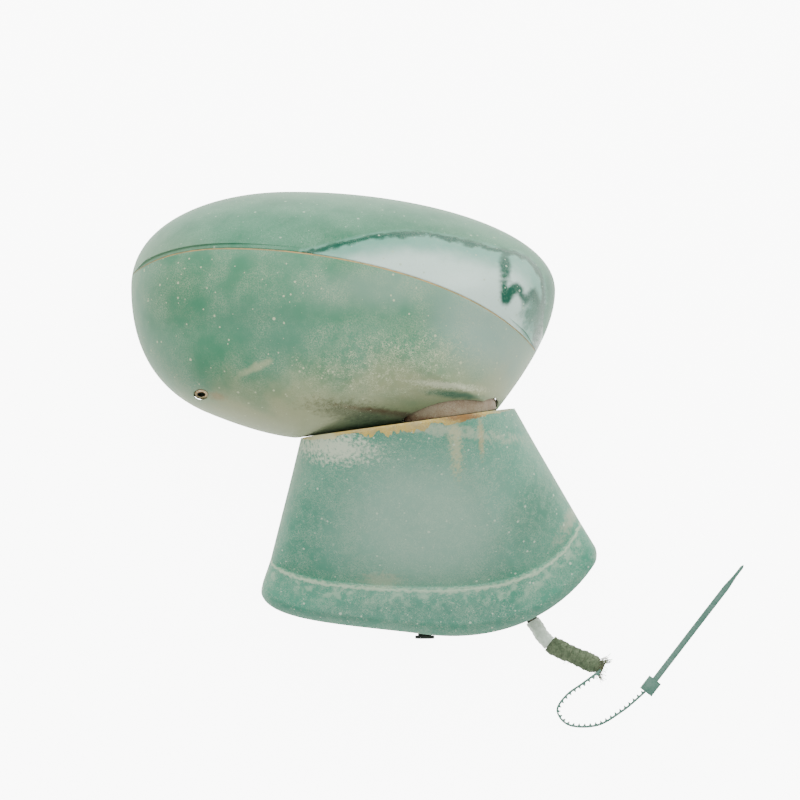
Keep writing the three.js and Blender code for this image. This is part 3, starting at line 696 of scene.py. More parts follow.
def patch_group() -> bpy.types.NodeTree:
    """Group that gives the mask of a turned elliptical patch with a broken edge, seen along Y."""
    name = "patch"
    if name in bpy.data.node_groups:
        return bpy.data.node_groups[name]
    tree = empty_group(
        name,
        {"Place": "Vector", "Centre": "Vector", "Reach": "Vector", "Turn": "Float", "Grain": "Float",
         "Ragged": "Float", "Amount": "Float"},
        {"Mask": "Float"},
    )
    graph = Graph(tree)
    given = graph.node("NodeGroupInput")
    local = graph.vector("SUBTRACT", given.outputs["Place"], given.outputs["Centre"]).outputs[0]
    turned = graph.node("ShaderNodeVectorRotate", rotation_type="Y_AXIS")
    graph.put(turned.inputs["Vector"], local)
    graph.put(turned.inputs["Angle"], given.outputs["Turn"])
    flat = graph.vector("MULTIPLY", turned.outputs[0], (1.0, 0.0, 1.0)).outputs[0]
    far = graph.vector("LENGTH", graph.vector("DIVIDE", flat, given.outputs["Reach"]).outputs[0])
    rough = graph.node("ShaderNodeTexNoise")
    graph.put(rough.inputs["Vector"], given.outputs["Place"])
    graph.put(rough.inputs["Scale"], given.outputs["Grain"])
    rough.inputs["Detail"].default_value = 5.0
    rough.inputs["Roughness"].default_value = 0.62
    shift = graph.math("MULTIPLY", graph.math("SUBTRACT", rough.outputs["Fac"], 0.5), given.outputs["Ragged"])
    mask = graph.step(graph.math("ADD", far.outputs["Value"], shift), 1.05, 0.2)
    result = graph.node("NodeGroupOutput")
    graph.put(result.inputs["Mask"], graph.math("MULTIPLY", mask, given.outputs["Amount"], clamp=True))
    return tree


@dataclass(frozen=True)
class Patch:
    """A stain, deposit or worn place on a face, or a patch of painted light, shade or reflection, in
    millimetres.

    Attributes:
        colour: Its 8-bit colour.
        centre: Middle in x and z.
        reach: Half width and half height.
        turn: Turn in degrees.
        amount: How strongly it covers.
        grain: Features per millimetre in its ragged edge.
        ragged: How far the grain breaks it up.
    """

    colour: tuple
    centre: tuple
    reach: tuple
    turn: float = 0.0
    amount: float = 0.8
    grain: float = 0.2
    ragged: float = 1.2

    def lay(self, graph: Graph, place: Feed, under: Feed) -> bpy.types.NodeSocket:
        """Blends the patch over a colour."""
        mask = graph.group(
            patch_group(), Place=place, Centre=(self.centre[0], 0.0, self.centre[1]),
            Reach=(self.reach[0], 1.0, self.reach[1]), Turn=math.radians(self.turn),
            Grain=self.grain, Ragged=self.ragged, Amount=self.amount,
        ).outputs["Mask"]
        return graph.blend(mask, under, linear(self.colour))


@dataclass(frozen=True)
class Finish:
    """How a material looks.

    Attributes:
        name: Name of the material.
        colour: Main 8-bit colour.
        second: Colour it drifts to over broad areas.
        dust_colour: Colour of the dust on it.
        roughness: Roughness where it is clean.
        metallic: Metallic share.
        dust: Amount of fine dust.
        specks: Amount of pale specks.
        hairs: Amount of hair-thin marks.
        bump: Strength of the surface relief.
        drift: Features per millimetre of the broad drift.
        edge_sheen: How strongly a painted pale sheen covers it where its face turns away from the view.
        gloss: Specular level.
        patches: Local marks, laid in order.
    """

    name: str
    colour: tuple
    second: tuple
    dust_colour: tuple = (190, 196, 172)
    roughness: float = 0.5
    metallic: float = 0.0
    dust: float = 0.3
    specks: float = 0.3
    hairs: float = 0.0
    bump: float = 0.1
    drift: float = 0.03
    edge_sheen: float = 0.0
    gloss: float = 0.5
    patches: tuple = ()

    def base(self, graph: Graph, place: Feed) -> bpy.types.NodeSocket:
        """Colour before dust."""
        broad = graph.step(graph.noise(place, self.drift, 3.0), 0.35, 0.65)
        return graph.blend(broad, linear(self.colour), linear(self.second))

    def clean(self, graph: Graph) -> Optional[bpy.types.NodeSocket]:
        """Mask of the places that have no dust, if there are any."""
        return None

    def hair_amount(self, graph: Graph, place: Feed) -> Feed:
        """Amount of hair-thin marks, which may vary over the piece."""
        return self.hairs

    def material(self) -> bpy.types.Material:
        """Builds the material, or finds it if it is built already."""
        label = f"look_{self.name}"
        if label in bpy.data.materials:
            return bpy.data.materials[label]
        made = bpy.data.materials.new(label)
        made.use_nodes = True
        tree = made.node_tree
        tree.nodes.clear()
        graph = Graph(tree)
        output = graph.node("ShaderNodeOutputMaterial")
        graph.put(output.inputs["Surface"], self._shader(graph, graph.millimetres()))
        return made

    def _shader(self, graph: Graph, place: Feed) -> bpy.types.NodeSocket:
        """Shader with the colour, its patches, the dust over them and the relief."""
        colour = self.base(graph, place)
        for patch in self.patches:
            colour = patch.lay(graph, place, colour)
        spare = self.clean(graph)
        dust = self.dust
        if spare is not None:
            dust = graph.math("MULTIPLY", graph.math("SUBTRACT", 1.0, spare), self.dust)
        grime = graph.group(grime_group(), Colour=colour, Dust_Colour=linear(self.dust_colour), Place=place,
                            Dust=dust, Specks=self.specks, Hairs=self.hair_amount(graph, place))
        # Painted pale sheen: the colour turns toward a pale tone where the face turns away from the view.
        facing = graph.node("ShaderNodeLayerWeight").outputs["Facing"]
        turned = graph.math("MULTIPLY", graph.math("POWER", facing, 3.0), self.edge_sheen, clamp=True)
        dulled = graph.math("MULTIPLY", grime.outputs["Cover"], 0.35)
        rough = graph.math("ADD", dulled, self.roughness, clamp=True)
        if spare is not None:
            rough = graph.math("SUBTRACT", rough, graph.math("MULTIPLY", spare, 0.3), clamp=True)
        relief = graph.node("ShaderNodeBump")
        relief.inputs["Strength"].default_value = self.bump
        relief.inputs["Distance"].default_value = 0.0004
        graph.put(relief.inputs["Height"], grime.outputs["Height"])
        shader = graph.node("ShaderNodeBsdfPrincipled")
        colour = graph.blend(turned, grime.outputs["Colour"], linear(EDGE_SHEEN))
        graph.put(shader.inputs["Base Color"], colour)
        graph.put(shader.inputs["Roughness"], rough)
        shader.inputs["Metallic"].default_value = self.metallic
        shader.inputs["Specular IOR Level"].default_value = self.gloss
        graph.put(shader.inputs["Normal"], relief.outputs["Normal"])
        return shader.outputs["BSDF"]


@dataclass(frozen=True)
class CapFinish(Finish):
    """Gloss paint under dust, with a clean patch on its right end that carries a painted reflection with a dark
    edge and a pale hazy middle.
    """

    # Dark edge and pale middle of the painted reflection on the right end.
    edge: tuple = (22, 84, 66)
    reflection_haze: tuple = (200, 222, 214)

    def clean(self, graph: Graph) -> Optional[bpy.types.NodeSocket]:
        """The clean patch under the painted reflection has no dust."""
        return graph.step(graph.attribute("wiped_reflection"), -1.0, 2.0)

    def base(self, graph: Graph, place: Feed) -> bpy.types.NodeSocket:
        """Dusty green, and over the clean patch a painted reflection placed by its distance attributes."""
        dusty = super().base(graph, place)
        ruffle = graph.wander(place, 6.0, 0.12, 4.0)
        inside = graph.math("ADD", graph.attribute("wiped_reflection"), ruffle)
        reflection_strip = graph.math("ADD", graph.attribute("reflection_strip"), graph.math("MULTIPLY", ruffle, 1.1))
        # Painted reflection: dark green just inside its rim, a pale middle, a dark band across it and a dark
        # line along its edge.
        reflection_haze = graph.blend(graph.step(inside, 4.0, 17.0), linear((112, 166, 148)), linear(self.reflection_haze))
        reflection_haze = graph.blend(graph.step(reflection_strip, 4.6, 0.6), reflection_haze, linear(self.edge))
        line = graph.step(graph.math("ABSOLUTE", graph.math("SUBTRACT", inside, 1.2)), 2.6, 0.6)
        reflection_colour = graph.blend(line, reflection_haze, linear(self.edge))
        return graph.blend(graph.step(graph.attribute("wiped_reflection"), -2.2, 0.6), dusty, reflection_colour)


@dataclass(frozen=True)
class ShellFinish(Finish):
    """Matte plastic that gets tan toward the joint and has curled marks in one area."""

    tan: tuple = (160, 163, 126)

    def base(self, graph: Graph, place: Feed) -> bpy.types.NodeSocket:
        """Green above, tan below, with a soft ragged border."""
        green = super().base(graph, place)
        apart = graph.node("ShaderNodeSeparateXYZ")
        graph.put(apart.inputs[0], place)
        height = graph.math("ADD", apart.outputs["Z"], graph.wander(place, 46.0, 0.05, 4.0))
        level = graph.math("SUBTRACT", height, graph.math("MULTIPLY", apart.outputs["X"], 0.12))
        return graph.blend(graph.step(level, 112.0, 72.0), green, linear(self.tan))

    def hair_amount(self, graph: Graph, place: Feed) -> Feed:
        """Curled marks, mostly on the lower middle."""
        return graph.group(
            patch_group(), Place=place, Centre=(-24.0, 0.0, 92.0), Reach=(74.0, 1.0, 30.0),
            Turn=math.radians(8), Grain=0.05, Ragged=0.8, Amount=self.hairs,
        ).outputs["Mask"]


CAP = CapFinish(
    "cap_paint", (56, 118, 90), (66, 128, 100), dust_colour=(168, 192, 168), roughness=0.5, dust=0.4,
    specks=0.8, hairs=0.2, bump=0.08, edge_sheen=0.2, gloss=0.3,
    patches=(
        Patch((126, 158, 130), (-150, 150), (44, 24), amount=0.6, grain=0.04, ragged=0.6),
        # The next two dark marks on the right end are painted reflection, part of its dark edge.
        Patch((30, 98, 76), (57, 122), (9, 12), turn=-20, amount=0.85, grain=0.14, ragged=1.7),
        Patch((34, 102, 80), (68, 138), (4, 22), turn=4, amount=0.8, grain=0.12, ragged=1.2),
    ),
)
SHELL = ShellFinish(
    "shell_plastic", (66, 126, 96), (84, 136, 110), dust_colour=(194, 200, 166), gloss=0.25, roughness=0.6,
    dust=0.4, specks=0.8, hairs=0.95, bump=0.14, edge_sheen=0.4,
    patches=(
        Patch((146, 172, 160), (34, 112), (52, 36), turn=-35, amount=0.85, grain=0.03, ragged=0.4),
        Patch((128, 156, 138), (-20, 138), (64, 18), turn=8, amount=0.6, grain=0.04, ragged=0.5),
        Patch((72, 124, 100), (-88, 112), (44, 22), turn=-12, amount=0.7, grain=0.04, ragged=0.5),
        Patch((74, 78, 46), (-44, 68), (32, 8), turn=-8, amount=0.85, grain=0.3, ragged=1.4),
        Patch((54, 104, 84), (13, 77), (24, 3), turn=-6, amount=0.9, grain=0.2, ragged=0.8),
        Patch((150, 112, 72), (-119, 76), (7, 3), turn=-10, amount=0.5, grain=0.3, ragged=1.0),
        Patch((176, 178, 140), (-97, 92), (14, 3), turn=24, amount=0.6, grain=0.2, ragged=1.4),
        Patch((210, 212, 184), (10, 82), (26, 2.6), turn=-6, amount=0.8, grain=0.9, ragged=2.4),
        Patch((96, 54, 26), (-2, 64), (62, 2.6), turn=-8, amount=0.95, grain=0.25, ragged=0.8),
    ),
)
@dataclass(frozen=True)
class FootFinish(Finish):
    """Chalked plastic with a pale line of dust on its ledge and mottled dirt under it."""

    ledge_dust: tuple = (212, 220, 190)

    def base(self, graph: Graph, place: Feed) -> bpy.types.NodeSocket:
        """Chalked green, with the dust placed by the distance from the ledge."""
        green = super().base(graph, place)
        away = graph.math("ADD", graph.attribute("ledge"), graph.wander(place, 5.0, 0.35, 5.0))
        line = graph.math("MULTIPLY", graph.step(graph.math("ABSOLUTE", away), 1.6, 0.1), 0.55)
        below = graph.math("MULTIPLY", graph.step(away, 0.0, 3.0), graph.step(away, 15.0, 4.0))
        mottle = graph.math("MULTIPLY", below, graph.step(graph.noise(place, 0.16, 5.0), 0.46, 0.62))
        green = graph.blend(graph.math("MULTIPLY", mottle, 0.7), green, linear((160, 190, 164)))
        return graph.blend(line, green, linear(self.ledge_dust))


FOOT = FootFinish(
    "foot_plastic", (66, 138, 114), (84, 150, 126), dust_colour=(198, 214, 192), gloss=0.25, roughness=0.65,
    dust=0.4, specks=0.8, hairs=0.4, bump=0.16, drift=0.02, edge_sheen=0.35,
    patches=(
        # Pale middle: chalking and painted light, which leaves the sides and bottom darker.
        Patch((156, 190, 172), (-4, 6), (72, 56), amount=0.8, grain=0.03, ragged=0.4),
        # Darker right side: painted shade.
        Patch((78, 134, 112), (62, 14), (20, 40), turn=-28, amount=0.75, grain=0.04, ragged=0.5),
        # Darker band below the ledge: painted shade.
        Patch((80, 132, 114), (0, -47), (110, 11), turn=0, amount=0.7, grain=0.08, ragged=1.2),
        Patch((216, 224, 200), (-54, 48), (30, 11), turn=-8, amount=0.9, grain=0.5, ragged=2.8),
        Patch((170, 184, 158), (-10, 60), (80, 5), turn=-8, amount=0.85, grain=0.35, ragged=2.0),
        Patch((196, 192, 150), (14, 50), (5, 24), turn=3, amount=0.7, grain=0.6, ragged=2.6),
        Patch((190, 170, 124), (28, 54), (2.2, 16), turn=4, amount=0.65, grain=0.5, ragged=2.0),
        Patch((176, 180, 156), (84, 14), (5, 30), turn=-30, amount=0.7, grain=0.4, ragged=2.0),
        Patch((168, 176, 150), (-28, -28), (16, 6), turn=0, amount=0.6, grain=0.5, ragged=2.4),
    ),
)
DARK = Finish("dark_plastic", (38, 44, 44), (50, 56, 54), dust_colour=(128, 126, 108), roughness=0.5, dust=0.35)
COLLAR = Finish(
    "collar_plastic", (134, 106, 84), (150, 130, 110), dust_colour=(190, 178, 150), roughness=0.6, dust=0.6,
    hairs=0.4, drift=0.12,
    patches=(Patch((110, 62, 34), (0, 62), (40, 3.4), turn=-8, amount=0.9, grain=0.25, ragged=1.0),),
)
WHITE = Finish("white_plastic", (206, 204, 186), (190, 182, 156), dust_colour=(150, 134, 104), roughness=0.45)
SLEEVE = Finish("sleeve_film", (236, 244, 232), (214, 226, 210), dust_colour=(150, 160, 138), roughness=0.35,
                dust=0.4, hairs=0.3, drift=0.4, bump=0.2)
INSERT = Finish("insert_plastic", (208, 202, 166), (196, 140, 84), dust_colour=(168, 142, 96), roughness=0.55,
                drift=0.25, dust=0.5)
RUBBER = Finish("rubber", (34, 36, 34), (48, 50, 44), dust_colour=(120, 122, 100), roughness=0.75, dust=0.4)
CAST = Finish("cast_alloy", (150, 152, 150), (128, 130, 126), dust_colour=(176, 172, 160), roughness=0.48,
              metallic=0.85, bump=0.4, drift=0.2)
STEEL = Finish("zinc_steel", (170, 168, 158), (150, 142, 122), dust_colour=(128, 92, 60), roughness=0.34,
               metallic=1.0, dust=0.25, specks=0.1)
BRASS = Finish("brass", (190, 154, 86), (164, 128, 70), dust_colour=(110, 96, 62), roughness=0.3, metallic=1.0)
MIRROR = Finish("mirror_silver", (214, 218, 220), (204, 210, 212), dust_colour=(170, 170, 158), roughness=0.04,
                metallic=1.0, dust=0.12, specks=0.25, bump=0.01)
CLOTH = Finish("cloth_tape", (76, 92, 66), (104, 118, 90), dust_colour=(156, 166, 134), roughness=0.85,
               dust=0.5, hairs=0.5, bump=0.6, drift=0.3)
FIBRE = Finish("tape_fibres", (66, 74, 50), (110, 116, 84), dust_colour=(170, 172, 140), roughness=0.9)
WIRE = Finish("wire_sheath", (58, 62, 56), (84, 76, 58), dust_colour=(120, 122, 100), roughness=0.5, drift=0.5)
TIE = Finish("tie_nylon", (62, 112, 96), (84, 126, 112), dust_colour=(140, 162, 148), roughness=0.42, drift=0.2)
CRUST = Finish(
    "moss_crust", (214, 182, 92), (188, 166, 112), dust_colour=(222, 216, 176), roughness=0.9, dust=0.6,
    specks=0.5, bump=0.8, drift=0.14,
    patches=(
        Patch((216, 214, 170), (-62, 54), (22, 6), turn=-8, amount=0.9, grain=0.2, ragged=1.0),
        Patch((134, 88, 52), (16, 65), (34, 5), turn=-8, amount=0.85, grain=0.3, ragged=1.2),
        Patch((150, 166, 146), (46, 69), (18, 8), turn=-8, amount=0.9, grain=0.2, ragged=0.8),
    ),
)
SEAM_DIRT = Finish("seam_dirt", (186, 152, 104), (150, 136, 98), dust_colour=(208, 190, 150), roughness=0.9,
                   dust=0.5, drift=0.12, bump=0.5)

LOOKS = {
    Slot.PAINT: CAP, Slot.SHELL: SHELL, Slot.FOOT: FOOT, Slot.DARK: DARK, Slot.WHITE: WHITE,
    Slot.RUBBER: RUBBER, Slot.CAST: CAST, Slot.STEEL: STEEL, Slot.BRASS: BRASS, Slot.MIRROR: MIRROR,
    Slot.CLOTH: CLOTH,
}


# ------------------------------------------------------------------ pieces
def dress(
    thing: bpy.types.Object, finish: Finish, slot: Slot, body: Body, *nodes: str
) -> bpy.types.Object:
    """Gives a finished piece its material and body, and hides the CAD nodes it stands for.

    Args:
        thing: The piece.
        finish: Its look.
        slot: Its material slot in the record; not used.
        body: The body it rides on.
        nodes: CAD nodes that it replaces.

    Returns:
        The piece.
    """
    thing.data.materials.clear()
    thing.data.materials.append(finish.material())
    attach(thing, body.value)
    if nodes:
        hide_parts(*nodes)
    log.info("%s: %d faces", thing.name, len(thing.data.polygons))
    return thing


def face_outward(mesh: bmesh.types.BMesh, centre: Vector) -> None:
    """Turns an open surface's faces away from a centre."""
    total = sum(face.normal.dot(face.calc_center_median() - centre) * face.calc_area() for face in mesh.faces)
    if total < 0:
        bmesh.ops.reverse_faces(mesh, faces=mesh.faces)


@dataclass
class ReflectionPatch:
    """The clean patch on the cap's right end that carries a painted reflection, and the dark band of painted
    reflection across it.
    """

    side_points: int = 24

    def __post_init__(self) -> None:
        """Draws the patch's upper edge from left to right, then its side, and the dark band of the painted
        reflection.
        """
        self.edge = chained(
            bezier([(-72, 156.5), (-48, 161), (-30, 169.5), (-4, 167.5)], 30),
            bezier([(-4, 167.5), (24, 164.5), (36, 158), (48, 157.5)], 20),
            bezier([(48, 157.5), (64, 153), (71, 136), (58.7, 104)], self.side_points),
        )
        self.reflection_strip = spline([(41.6, 160), (41.2, 146), (41.4, 130), (45, 135), (49, 136), (53, 130), (57, 134),
                             (61, 126), (60, 114)], 6)

    @staticmethod
    def _distance(line: np.ndarray, x: float, z: float) -> float:
        """Distance from a line in millimetres."""
        return float(np.min(np.linalg.norm(line - (x, z), axis=1))) / MM

    def _side(self, z: float) -> float:
        """Right-hand limit of the patch at a height."""
        side = self.edge[-self.side_points:][::-1]
        return float(np.interp(z, side[:, 1], side[:, 0], left=0.0, right=0.0))

    def depth(self, x: float, z: float) -> float:
        """How far inside the patch a place is, in millimetres, negative outside."""
        top = float(np.interp(x, self.edge[:-12, 0], self.edge[:-12, 1], left=0.0, right=0.0))
        away = self._distance(self.edge, x, z)
        inner = z < top or (x > self.edge[-13, 0] and away < 60 and x < self._side(z))
        return away * (1 if inner else -1)

    def from_reflection_strip(self, x: float, z: float) -> float:
        """Distance from the dark band of the painted reflection in millimetres."""
        return self._distance(self.reflection_strip, x, z)


@dataclass
class Head:
    """The painted cap, the lower shell and what is in their seam."""

    form: HeadForm
    joint: FoldJoint
    wall: float = 2.4 * MM
    seam_gap: float = 0.8 * MM
    lip: tuple = (0.0, 0.12, 0.3, 0.55, 0.9)
    face: tuple = tuple(1 - (1 - t) ** 2.6 for t in np.linspace(0.012, 1.0, 84))
    rim: tuple = (0.1, 0.25, 0.4, 0.55, 0.7, 0.85, 1.0)

    def __post_init__(self) -> None:
        """Draws the seam and splits the outline where it ends."""
        curve = chained(
            bezier([(-176, 139), (-162, 153), (-140, 158.6), (-115, 158.6)], 200),
            bezier([(-115, 158.6), (-45, 158.6), (38, 136), (64, 96)], 600),
        )
        inside = np.array([self.form.spread(x, z) <= 0.999 for x, z in curve])
        self.seam = Track(curve[inside])
        left, right = (self._place_on_outline(self.seam.points[k]) for k in (0, -1))
        loop = np.vstack([self.form.outline[:-1]] * 2)
        count = len(self.form.outline) - 1
        upper = loop[right:left + 1] if right < left else loop[right:left + count + 1]
        lower = loop[left:right + count + 1] if right < left else loop[left:right + 1]
        self.upper = Track(upper[::-1])
        self.lower = Track(lower)

    def _place_on_outline(self, point: np.ndarray) -> int:
        """Index of the outline point nearest to a place."""
        return int(np.argmin(np.linalg.norm(self.form.outline[:-1] - point, axis=1)))

    def _strip(self, edge: Track, gap: float, u: float) -> tuple:
        """Both ends of the line across a piece: beside the seam and on the outline."""
        share = 0.5 - 0.5 * math.cos(math.pi * u)
        trim = 0.5 * gap / edge.length
        start = self.seam.at(mix(0.003, 0.997, share))
        end = edge.at(mix(trim, 1 - trim, share))
        length = max(float(np.linalg.norm(end - start)), 1e-9)
        return start + (end - start) / length * min(gap, 0.3 * length), end

    def _point(self, start: np.ndarray, end: np.ndarray, row: int) -> Vector:
        """Point of a row, from the lip at the seam over the face to the rim."""
        span = end - start
        if row < len(self.lip):
            length = max(float(np.linalg.norm(span)), 1e-9)
            x, z = start + span / length * min(self.lip[row] * MM, 0.011 * length)
            sunk = 0.5 * MM * (1 - min(self.lip[row] / self.lip[-1], 1.0)) ** 2
            return Vector((x, self.form.y(x, z) + sunk, z))
        row -= len(self.lip)
        if row < len(self.face):
            x, z = start + span * self.face[row]
            return Vector((x, self.form.y(x, z), z))
        back = self.rim[row - len(self.face)]
        crown = np.array(self.form.crown)
        x, z = crown + (end - crown) * mix(1.0, self.form.rim_scale, back**1.6)
        return Vector((x, mix(self.form.belt_y, self.form.rim_y, back), z))

    def _piece(
        self, name: str, edge: Track, gap: float, columns: int, marks: Optional[dict] = None
    ) -> bpy.types.Object:
        """Surface from the seam out to the outline and back round the rim.

        Args:
            name: Name of the piece.
            edge: The stretch of outline it reaches.
            gap: How far it starts from the seam.
            columns: Faces along the seam.
            marks: Float attributes by place in x and z.

        Returns:
            The closed, walled piece.
        """
        rows = len(self.lip) + len(self.face) + len(self.rim) - 1

        def place(u: float, v: float) -> Vector:
            """Point of the surface along the seam and away from it."""
            return self._point(*self._strip(edge, gap, u), int(round(v * rows)))

        mesh = bmesh.new()
        bent_grid(mesh, columns, rows, place)
        for key, rule in (marks or {}).items():
            layer = mesh.verts.layers.float.new(key)
            for vert in mesh.verts:
                vert[layer] = rule(vert.co.x, vert.co.z)
        settle(mesh, 4e-6)
        face_outward(mesh, Vector((self.form.crown[0], -0.01, self.form.crown[1])))
        thing = new_object(name, mesh)
        thicken(thing, self.wall, [tuple(self.seam.points[0]), tuple(self.seam.points[-1])])
        baked(thing)
        return thing

    def build(self) -> None:
        """Builds the cap, the shell and the dirt in the seam."""
        # The cap carries the painted reflection on its right end through these distance attributes.
        patch = ReflectionPatch()
        cap = self._piece("cap", self.upper, 0.0, 260, {"wiped_reflection": patch.depth, "reflection_strip": patch.from_reflection_strip})
        shade(cap)
        dress(cap, CAP, Slot.PAINT, Body.HEAD, "upper_cap")
        shell = self._piece("shell", self.lower, self.seam_gap, 280)
        across = Matrix.Rotation(math.radians(90), 4, "X")
        hole_place = Matrix.Translation((-128.2 * MM, -40 * MM, 77.2 * MM)) @ across
        carve(shell, rod("hole", 1.0, 200 * MM, hole_place, (4.3 * MM, 3 * MM, 1)))
        recess_place = self.joint.matrix() @ Matrix.Translation((0, 0, 2 * MM))
        carve(shell, rod("recess", 27.5 * MM, 20 * MM, recess_place))
        shade(shell)
        dress(shell, SHELL, Slot.SHELL, Body.HEAD, "lower_shell")
        dress(self._seam_dirt(), SEAM_DIRT, Slot.SHELL, Body.HEAD)

    def _seam_dirt(self) -> bpy.types.Object:
        """Lumpy dirt just under the seam between cap and shell."""
        def place(u: float, v: float) -> Vector:
            """Point of the lumpy bead along the seam and round it."""
            share = mix(0.004, 0.996, u)
            x, z = self.seam.at(share)
            ahead = self.seam.at(min(share + 0.003, 1.0)) - self.seam.at(max(share - 0.003, 0.0))
            side = np.array([-ahead[1], ahead[0]]) / np.linalg.norm(ahead)
            angle = 2 * math.pi * v
            lump = 0.75 + 0.25 * math.sin(u * 331 + 2 * math.sin(u * 97))
            closed = open_between(u, 1e-6)
            x, z = np.array([x, z]) + side * (1.0 * MM * closed * math.cos(angle) - 0.4 * MM)
            return Vector((x, self.form.y(x, z) + 1.0 * MM + 0.55 * MM * closed * lump * math.sin(angle), z))

        mesh = bmesh.new()
        bent_grid(mesh, 420, 10, place)
        return finished("seam_dirt", mesh)


@dataclass
class Foot:
    """The stepped foot cover and the crust along its joint."""

    form: FootForm
    joint: FoldJoint
    wall: float = 2.4 * MM
    hole: float = 24.2 * MM
    front: int = 150
    rear: int = 40
    platform: int = 8
    bottom: int = 8
    edge_down: float = 0.012

    def __post_init__(self) -> None:
        """Sets the rows of the face, closer at its edges and its ledge."""
        self.downs = np.concatenate([
            np.linspace(0, self.edge_down, 4), np.linspace(0.02, 0.96, 72), np.linspace(0.972, 1.002, 10),
            np.linspace(1.02, 1.7, 26), np.linspace(1.72, 2.0, 18),
        ])
        self.rows = self.platform + len(self.downs) + self.bottom - 1

    def _ring(self, u: float, down: float) -> Vector:
        """Point of a ring round the cover: over the front, then back along the door."""
        column = u * (self.front + self.rear)
        if column <= self.front:
            across = 0.5 - 0.5 * math.cos(math.pi * column / self.front)
            edge = min(down / self.edge_down, 1.0)
            return self.form.place(across, down) + Vector((0, 0.5 * MM * (1 - edge) ** 2, 0))
        across = 1 - (column - self.front) / self.rear
        x, z = self.form.net(across, down)
        return Vector((x, self.form.back(down), z))

    def _point(self, u: float, v: float) -> Vector:
        """Point of the cover: the platform round the pivot, the face, then the hem's turned edge."""
        row = int(round(v * self.rows))
        if row < self.platform:
            rim = self._ring(u, 0.0)
            local = self.joint.matrix().inverted() @ rim
            turn = math.atan2(local.y, local.x)
            round_hole = Vector((self.hole * math.cos(turn), self.hole * math.sin(turn), -0.4 * MM))
            return (self.joint.matrix() @ round_hole).lerp(rim, row / self.platform)
        row -= self.platform
        if row < len(self.downs):
            return self._ring(u, float(self.downs[row]))
        share = (row - len(self.downs) + 1) / self.bottom
        rim = self._ring(u, 2.0)
        rise = min(0.6 * MM, 0.1 * abs(rim.y - self.form.back_y)) * math.sin(math.pi / 2 * share)
        return Vector((rim.x, mix(rim.y, self.form.back_y, share), rim.z + rise))

    def _from_ledge(self, u: float, v: float) -> float:
        """Rough distance below the ledge in millimetres, large where there is none."""
        row = int(round(v * self.rows)) - self.platform
        if u * (self.front + self.rear) > self.front or not 0 <= row < len(self.downs):
            return 60.0
        return float(self.downs[row] - 1) * (80.0 if self.downs[row] < 1 else 24.0)

    def build(self) -> None:
        """Builds the cover and the crust."""
        mesh = bmesh.new()
        bent_grid(mesh, self.front + self.rear, self.rows, self._point, {"ledge": self._from_ledge})
        settle(mesh, 4e-6)
        limit = self.form.back_y - 0.05 * MM
        open_back = [face for face in mesh.faces if min(vert.co.y for vert in face.verts) > limit]
        bmesh.ops.delete(mesh, geom=open_back, context="FACES")
        face_outward(mesh, Vector((0, -0.02, 0)))
        cover = new_object("cover", mesh)
        thicken(cover, self.wall, [tuple(self.form.net(0.0, 2.0)), tuple(self.form.net(1.0, 2.0))])
        baked(cover)
        shade(cover)
        dress(cover, FOOT, Slot.FOOT, Body.FOOT, "foot_cover")
        dress(self._crust(), CRUST, Slot.FOOT, Body.FOOT)

    def _crust(self) -> bpy.types.Object:
        """Lumpy moss and dirt along the front top edge of the cover."""
        rng = random.Random(7)
        paces = (9, 17, 31, 47, 73, 109, 171, 263, 390, 520)
        waves = [(pace, rng.uniform(0, 6.3), 1.3 / (1 + pace / 60)) for pace in paces]

        def ragged(u: float, turn: float) -> float:
            """Lumpiness from 0 to 1 along the edge and round the crust."""
            total = sum(size * math.sin(pace * u + start + 2.1 * turn) for pace, start, size in waves)
            return 0.5 + 0.5 * math.tanh(total * 0.6)

        def place(u: float, v: float) -> Vector:
            """Point of the crust along the edge and round it."""
            across = mix(0.01, 0.99, u)
            angle = 2 * math.pi * v
            closed = math.sqrt(max(1 - (2 * u - 1) ** 8, 0.0))
            x = self.form.top_x(across)
            heavy = math.exp(-((x / MM + 24) / 30) ** 2) + 0.35
            low = (0.7 + 3.2 * ragged(u, 0.0) * heavy) * MM * closed
            down = max(0.0, 0.5 - 0.5 * math.cos(angle)) * low / (66 * MM)
            point = self.form.place(across, down)
            lift = 0.75 * MM * closed * (0.35 + 0.65 * ragged(u * 3.1, angle)) * math.sin(angle)
            outward = Vector((0, -1, 0.12))
            ridge = 0.7 * MM * closed * max(math.cos(angle), 0.0) ** 4
            return point + outward * (max(lift, -0.2 * MM)) * min(1.0, heavy) + self.joint.axis * ridge

        mesh = bmesh.new()
        bent_grid(mesh, 1100, 16, place)
        return finished("crust", mesh)


